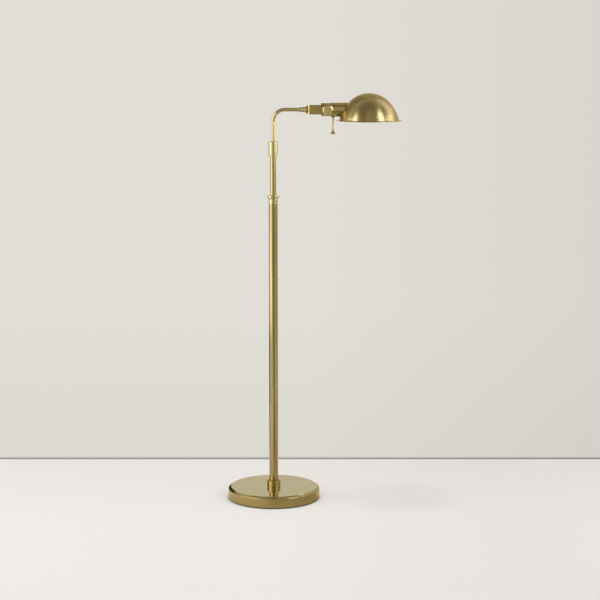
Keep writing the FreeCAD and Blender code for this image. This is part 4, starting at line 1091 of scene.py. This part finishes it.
class LAMP_OT_switch(bpy.types.Operator):
    """Stem and trumpet knob of the switch"""

    bl_idname = "lamp.switch"
    bl_label = "Switch"

    def execute(self, context):
        sizes = context.scene.lamp_switch
        low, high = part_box("switch_stem")
        at = ((low.x + high.x) / 2, 0, 0)
        add_turned("stem", [(0, low.z), (sizes.stem, low.z), (sizes.stem, high.z), (0, high.z)],
                   finish("turned_brass"), "switch_stem", at=at)
        low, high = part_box("switch_knob")
        radius, foot, top = high.y, low.z, high.z
        bead = top - sizes.bead_height
        add_turned("knob", [
            (0, foot),
            (radius - sizes.edge, foot),
            (radius, foot + sizes.edge),
            (radius, foot + sizes.rim, -sizes.hollow),
            (sizes.waist, bead),
            (sizes.waist + 0.0002, bead, sizes.bead_round),
            (sizes.waist + 0.0002, top),
            (sizes.stem, top),
            (sizes.stem, foot + sizes.rim),
            (0, foot + sizes.rim),
        ], finish("turned_brass"), "switch_knob", at=at, soft=0.0001)
        return {"FINISHED"}


class LAMP_OT_finishes(bpy.types.Operator):
    """Materials of the nodes that keep their own shape"""

    bl_idname = "lamp.finishes"
    bl_label = "Finishes"

    def execute(self, context):
        for name, node in frame["nodes"].items():
            slot = slot_of(name)
            node.data.materials.clear()
            node.data.materials.append(finish("plate_brass" if slot == "base_brass" else slot.replace("shade", "dome")))
        return {"FINISHED"}


# ---------------------------------------------------------------- stage
def sheet_mesh(name, corners, material):
    """Flat rectangle of the studio."""
    mesh = bmesh.new()
    mesh.faces.new([mesh.verts.new(corner) for corner in corners])
    thing = add_object(name, mesh)
    thing.data.materials.append(material)
    return thing


def empty_material(name):
    """Material whose tree has no nodes yet."""
    material = bpy.data.materials.new(name)
    material.use_nodes = True
    material.node_tree.nodes.clear()
    return material, material.node_tree


def stage_material(name, colour, lit, falls):
    """Matt colour that shows from its front only. lit is how much of it comes from the lamps in the picture.

    Each fall is an axis, the two places between which the colour fades, and what is left of it at the second: painted
    light falloff.
    """
    material, tree = empty_material(name)
    out = add_node(tree, "ShaderNodeOutputMaterial")
    light = add_node(tree, "ShaderNodeBsdfDiffuse", {"Color": (*colour, 1)})
    spots = add_node(tree, "ShaderNodeTexCoord").outputs["Object"]
    place = add_node(tree, "ShaderNodeSeparateXYZ", {0: spots}).outputs
    level = 1.0
    for axis, near, far, left in falls:
        level = arithmetic(tree, "MULTIPLY", between(tree, place[axis], near, far, 1.0, left), level)
    # painted contact shadow: the glow darkens where things stand close to the floor or backdrop
    contact_shade = add_node(tree, "ShaderNodeAmbientOcclusion", {"Distance": 0.008}, samples=8)
    level = arithmetic(tree, "MULTIPLY", between(tree, contact_shade.outputs["AO"], 0.5, 1.0, 0.2, 1.0), level)
    glow = add_node(tree, "ShaderNodeEmission", {"Color": (*colour, 1), "Strength": level})
    path = add_node(tree, "ShaderNodeLightPath")
    seen = arithmetic(tree, "MAXIMUM", path.outputs["Is Camera Ray"], path.outputs["Is Glossy Ray"])
    seen = arithmetic(tree, "MAXIMUM", seen, path.outputs["Is Transmission Ray"])
    part = arithmetic(tree, "MULTIPLY", seen, 1 - lit)
    surface = add_node(tree, "ShaderNodeMixShader", {0: part, 1: light.outputs[0], 2: glow.outputs[0]})
    face = add_node(tree, "ShaderNodeNewGeometry")
    clear = add_node(tree, "ShaderNodeBsdfTransparent")
    whole = add_node(tree, "ShaderNodeMixShader", {
        0: face.outputs["Backfacing"], 1: surface.outputs[0], 2: clear.outputs[0]})
    tree.links.new(whole.outputs[0], out.inputs["Surface"])
    return material


def aimed(thing, at, aim):
    """Puts an object at a spot, looking at another."""
    thing.location = at
    thing.rotation_euler = (Vector(aim) - Vector(at)).to_track_quat("-Z", "Y").to_euler()


def softbox(name, at, aim, width, height, radiance, in_gloss):
    """Rectangular lamp as bright as its radiance, which the camera doesn't see."""
    light = bpy.data.lights.new(name, "AREA")
    light.shape = "RECTANGLE"
    light.size, light.size_y = width, height
    light.energy = radiance * math.pi * width * height
    thing = bpy.data.objects.new(name, light)
    bpy.context.scene.collection.objects.link(thing)
    aimed(thing, at, aim)
    thing.visible_camera = False
    thing.visible_glossy = in_gloss


def flag(name, corners, low, high, tone=(1, 0.88, 0.68), way="Z", end=1.0):
    """Card that only shows in gloss, where the room has another tone. Its level goes from low to high on its way."""
    material, tree = empty_material(name)
    place = add_node(tree, "ShaderNodeSeparateXYZ", {0: add_node(tree, "ShaderNodeTexCoord").outputs["Generated"]})
    level = between(tree, place.outputs[way], 0.0, end, low, high)
    glow = add_node(tree, "ShaderNodeEmission", {"Color": (*tone, 1), "Strength": level})
    add_node(tree, "ShaderNodeOutputMaterial", {"Surface": glow.outputs[0]})
    card = sheet_mesh(name, [(x, y, max(z, 0.001)) for x, y, z in corners], material)
    for ray in ("camera", "diffuse", "transmission", "volume_scatter", "shadow"):
        setattr(card, f"visible_{ray}", False)


def upright(x0, y0, x1, y1, bottom, top):
    """Corners of an upright rectangle between two spots on the floor."""
    return [(x0, y0, bottom), (x1, y1, bottom), (x1, y1, top), (x0, y0, top)]


# Rectangular lamps: name, place, aim, width, height, radiance and whether gloss shows them.
LAMPS = (
    ("window", (-1.75, -0.8, 1.05), (0.1, 0, 0.9), 2.0, 1.9, 1.6, True),
    ("pane", (-1.55, -1.0, 2.1), (0.2, 0, 1.1), 0.45, 0.55, 6.0, True),
    ("lamp_bank", (1.85, -1.35, 1.75), (0.2, 0, 0.9), 0.6, 2.0, 5.6, True),
    ("side_window", (2.0, 0.1, 1.35), (0.25, 0, 1.15), 1.5, 1.2, 1.9, True),
    ("top_light", (0.086, 0, 2.6), (0.086, 0, 0), 0.14, 0.14, 160, False),
)
CAMERA_PLACE = (0.0695, -4.509, 1.2388)
CAMERA_TILT = math.radians(90 - 8.93)
CAMERA_LENS = 104.7
WALLS, CEILING = (0.72, 0.70, 0.65), (0.26, 0.24, 0.2)  # of the room round the stage
AMBIENT = (0.5, 0.485, 0.46)  # what matt things get from the room


class LAMP_OT_stage(bpy.types.Operator):
    """Floor, backdrop, lights, world and camera"""

    bl_idname = "lamp.stage"
    bl_label = "Stage"

    def execute(self, context):
        studio = context.scene.lamp_studio
        far, wall = 9.0, studio.wall_distance
        # The falls paint light falloff: the floor darkens to the right and to the back, the backdrop to the right and
        # towards the floor.
        floor = stage_material("floor_paper", studio.floor, 0.5, [("X", 0.0, 0.6, 0.83), ("Y", -0.2, 0.4, 0.94)])
        backdrop = stage_material("backdrop_paper", studio.wall, 0.0, [("X", 0.1, 0.9, 0.92), ("Z", 0.45, 0.0, 0.95)])
        sheet_mesh("floor", [(-far, -far, 0), (far, -far, 0), (far, far, 0), (-far, far, 0)], floor)
        sheet_mesh("backdrop", [(-far, wall, 0), (far, wall, 0), (far, wall, far), (-far, wall, far)], backdrop)
        for lamp in LAMPS:
            softbox(*lamp)
        flag("low_front", upright(-0.1, -1.3, 0.62, -1.2, 0.02, 0.7), 0.16, 0.36)
        flag("high_front", upright(-0.1, -1.3, 0.62, -1.2, 0.7, 2.6), 0.58, 0.54)
        flag("near_floor", [(-0.14, -0.02, 0), (0.13, 0, 0), (0.6, 0, 0), (0.45, -0.42, 0), (-0.14, -0.42, 0)], 0.82, 0.55,
             way="X", end=0.3)
        flag("far_floor", [(-0.07, -0.42, 0), (0.45, -0.42, 0), (1.1, -0.8, 0), (-0.12, -1.28, 0)], 0.33, 0.33)
        flag("left_back", upright(-1.5, wall - 0.02, 0.12, wall - 0.02, 1.25, 3.0), 0.36, 0.25)
        flag("high_back", upright(0.12, wall - 0.02, 0.7, wall - 0.02, 1.25, 3.0), 0.55, 0.45)
        flag("right_back", upright(0.7, wall - 0.02, 2.2, wall - 0.02, 1.25, 3.0), 1.5, 1.3, (1, 0.98, 0.95))
        flag("dark_corner", upright(-1.6, wall - 0.02, -0.17, wall - 0.02, 0.0, 0.35), 0.04, 0.04)
        scene = context.scene
        scene.view_settings.view_transform = "Standard"
        scene.world = self.room()
        camera = bpy.data.cameras.new("camera")
        camera.sensor_width = 36
        camera.lens = CAMERA_LENS
        camera.clip_start, camera.clip_end = 0.05, 100
        thing = bpy.data.objects.new("camera", camera)
        scene.collection.objects.link(thing)
        thing.location = CAMERA_PLACE
        thing.rotation_euler = (CAMERA_TILT, 0, 0)
        scene.camera = thing
        return {"FINISHED"}

    def room(self):
        """Pale walls under a darker ceiling, and an even pale light on matt things."""
        world = bpy.data.worlds.new("room")
        world.use_nodes = True
        tree = world.node_tree
        way = add_node(tree, "ShaderNodeSeparateXYZ", {0: add_node(tree, "ShaderNodeTexCoord").outputs["Generated"]})
        height = between(tree, way.outputs["Z"], 0.05, 0.5)
        walls = blend(tree, height, WALLS, CEILING)
        path = add_node(tree, "ShaderNodeLightPath")
        shade = blend(tree, path.outputs["Is Diffuse Ray"], walls, AMBIENT)
        tree.links.new(shade, tree.nodes["Background"].inputs["Color"])
        return world


OPERATORS = (
    LAMP_OT_base, LAMP_OT_column, LAMP_OT_riser, LAMP_OT_arm, LAMP_OT_head, LAMP_OT_shade, LAMP_OT_bulb,
    LAMP_OT_switch, LAMP_OT_finishes, LAMP_OT_stage,
)
GROUPS = {
    "lamp_base": LampBaseSizes, "lamp_column": LampColumnSizes, "lamp_arm": LampArmSizes, "lamp_head": LampHeadSizes,
    "lamp_shade": LampShadeSizes, "lamp_bulb": LampBulbSizes, "lamp_switch": LampSwitchSizes,
    "lamp_finishes": LampFinishes, "lamp_studio": LampStudio,
}


class LAMP_PT_panel(bpy.types.Panel):
    """Sidebar panel that lists the lamp's groups"""

    bl_idname = "LAMP_PT_panel"
    bl_label = "Bridge floor lamp"
    bl_space_type = "VIEW_3D"
    bl_region_type = "UI"
    bl_category = "Lamp"

    def draw(self, context):
        for operator in OPERATORS:
            self.layout.operator(operator.bl_idname)
        for group in GROUPS:
            settings = getattr(context.scene, group)
            column = self.layout.column(heading=group)
            for name in settings.__annotations__:
                column.prop(settings, name)


def register():
    """Adds the classes and the scene's settings."""
    for group in (*GROUPS.values(), *OPERATORS, LAMP_PT_panel):
        bpy.utils.register_class(group)
    for name, group in GROUPS.items():
        setattr(bpy.types.Scene, name, PointerProperty(type=group))


def unregister():
    """Takes the settings and classes away."""
    for name in GROUPS:
        delattr(bpy.types.Scene, name)
    for group in (LAMP_PT_panel, *reversed(OPERATORS), *reversed(GROUPS.values())):
        bpy.utils.unregister_class(group)


def main():
    """Builds the lamp and its studio."""
    register()
    for operator in OPERATORS:
        group, name = operator.bl_idname.split(".")
        getattr(getattr(bpy.ops, group), name)()


if __name__ == "__main__":
    main()
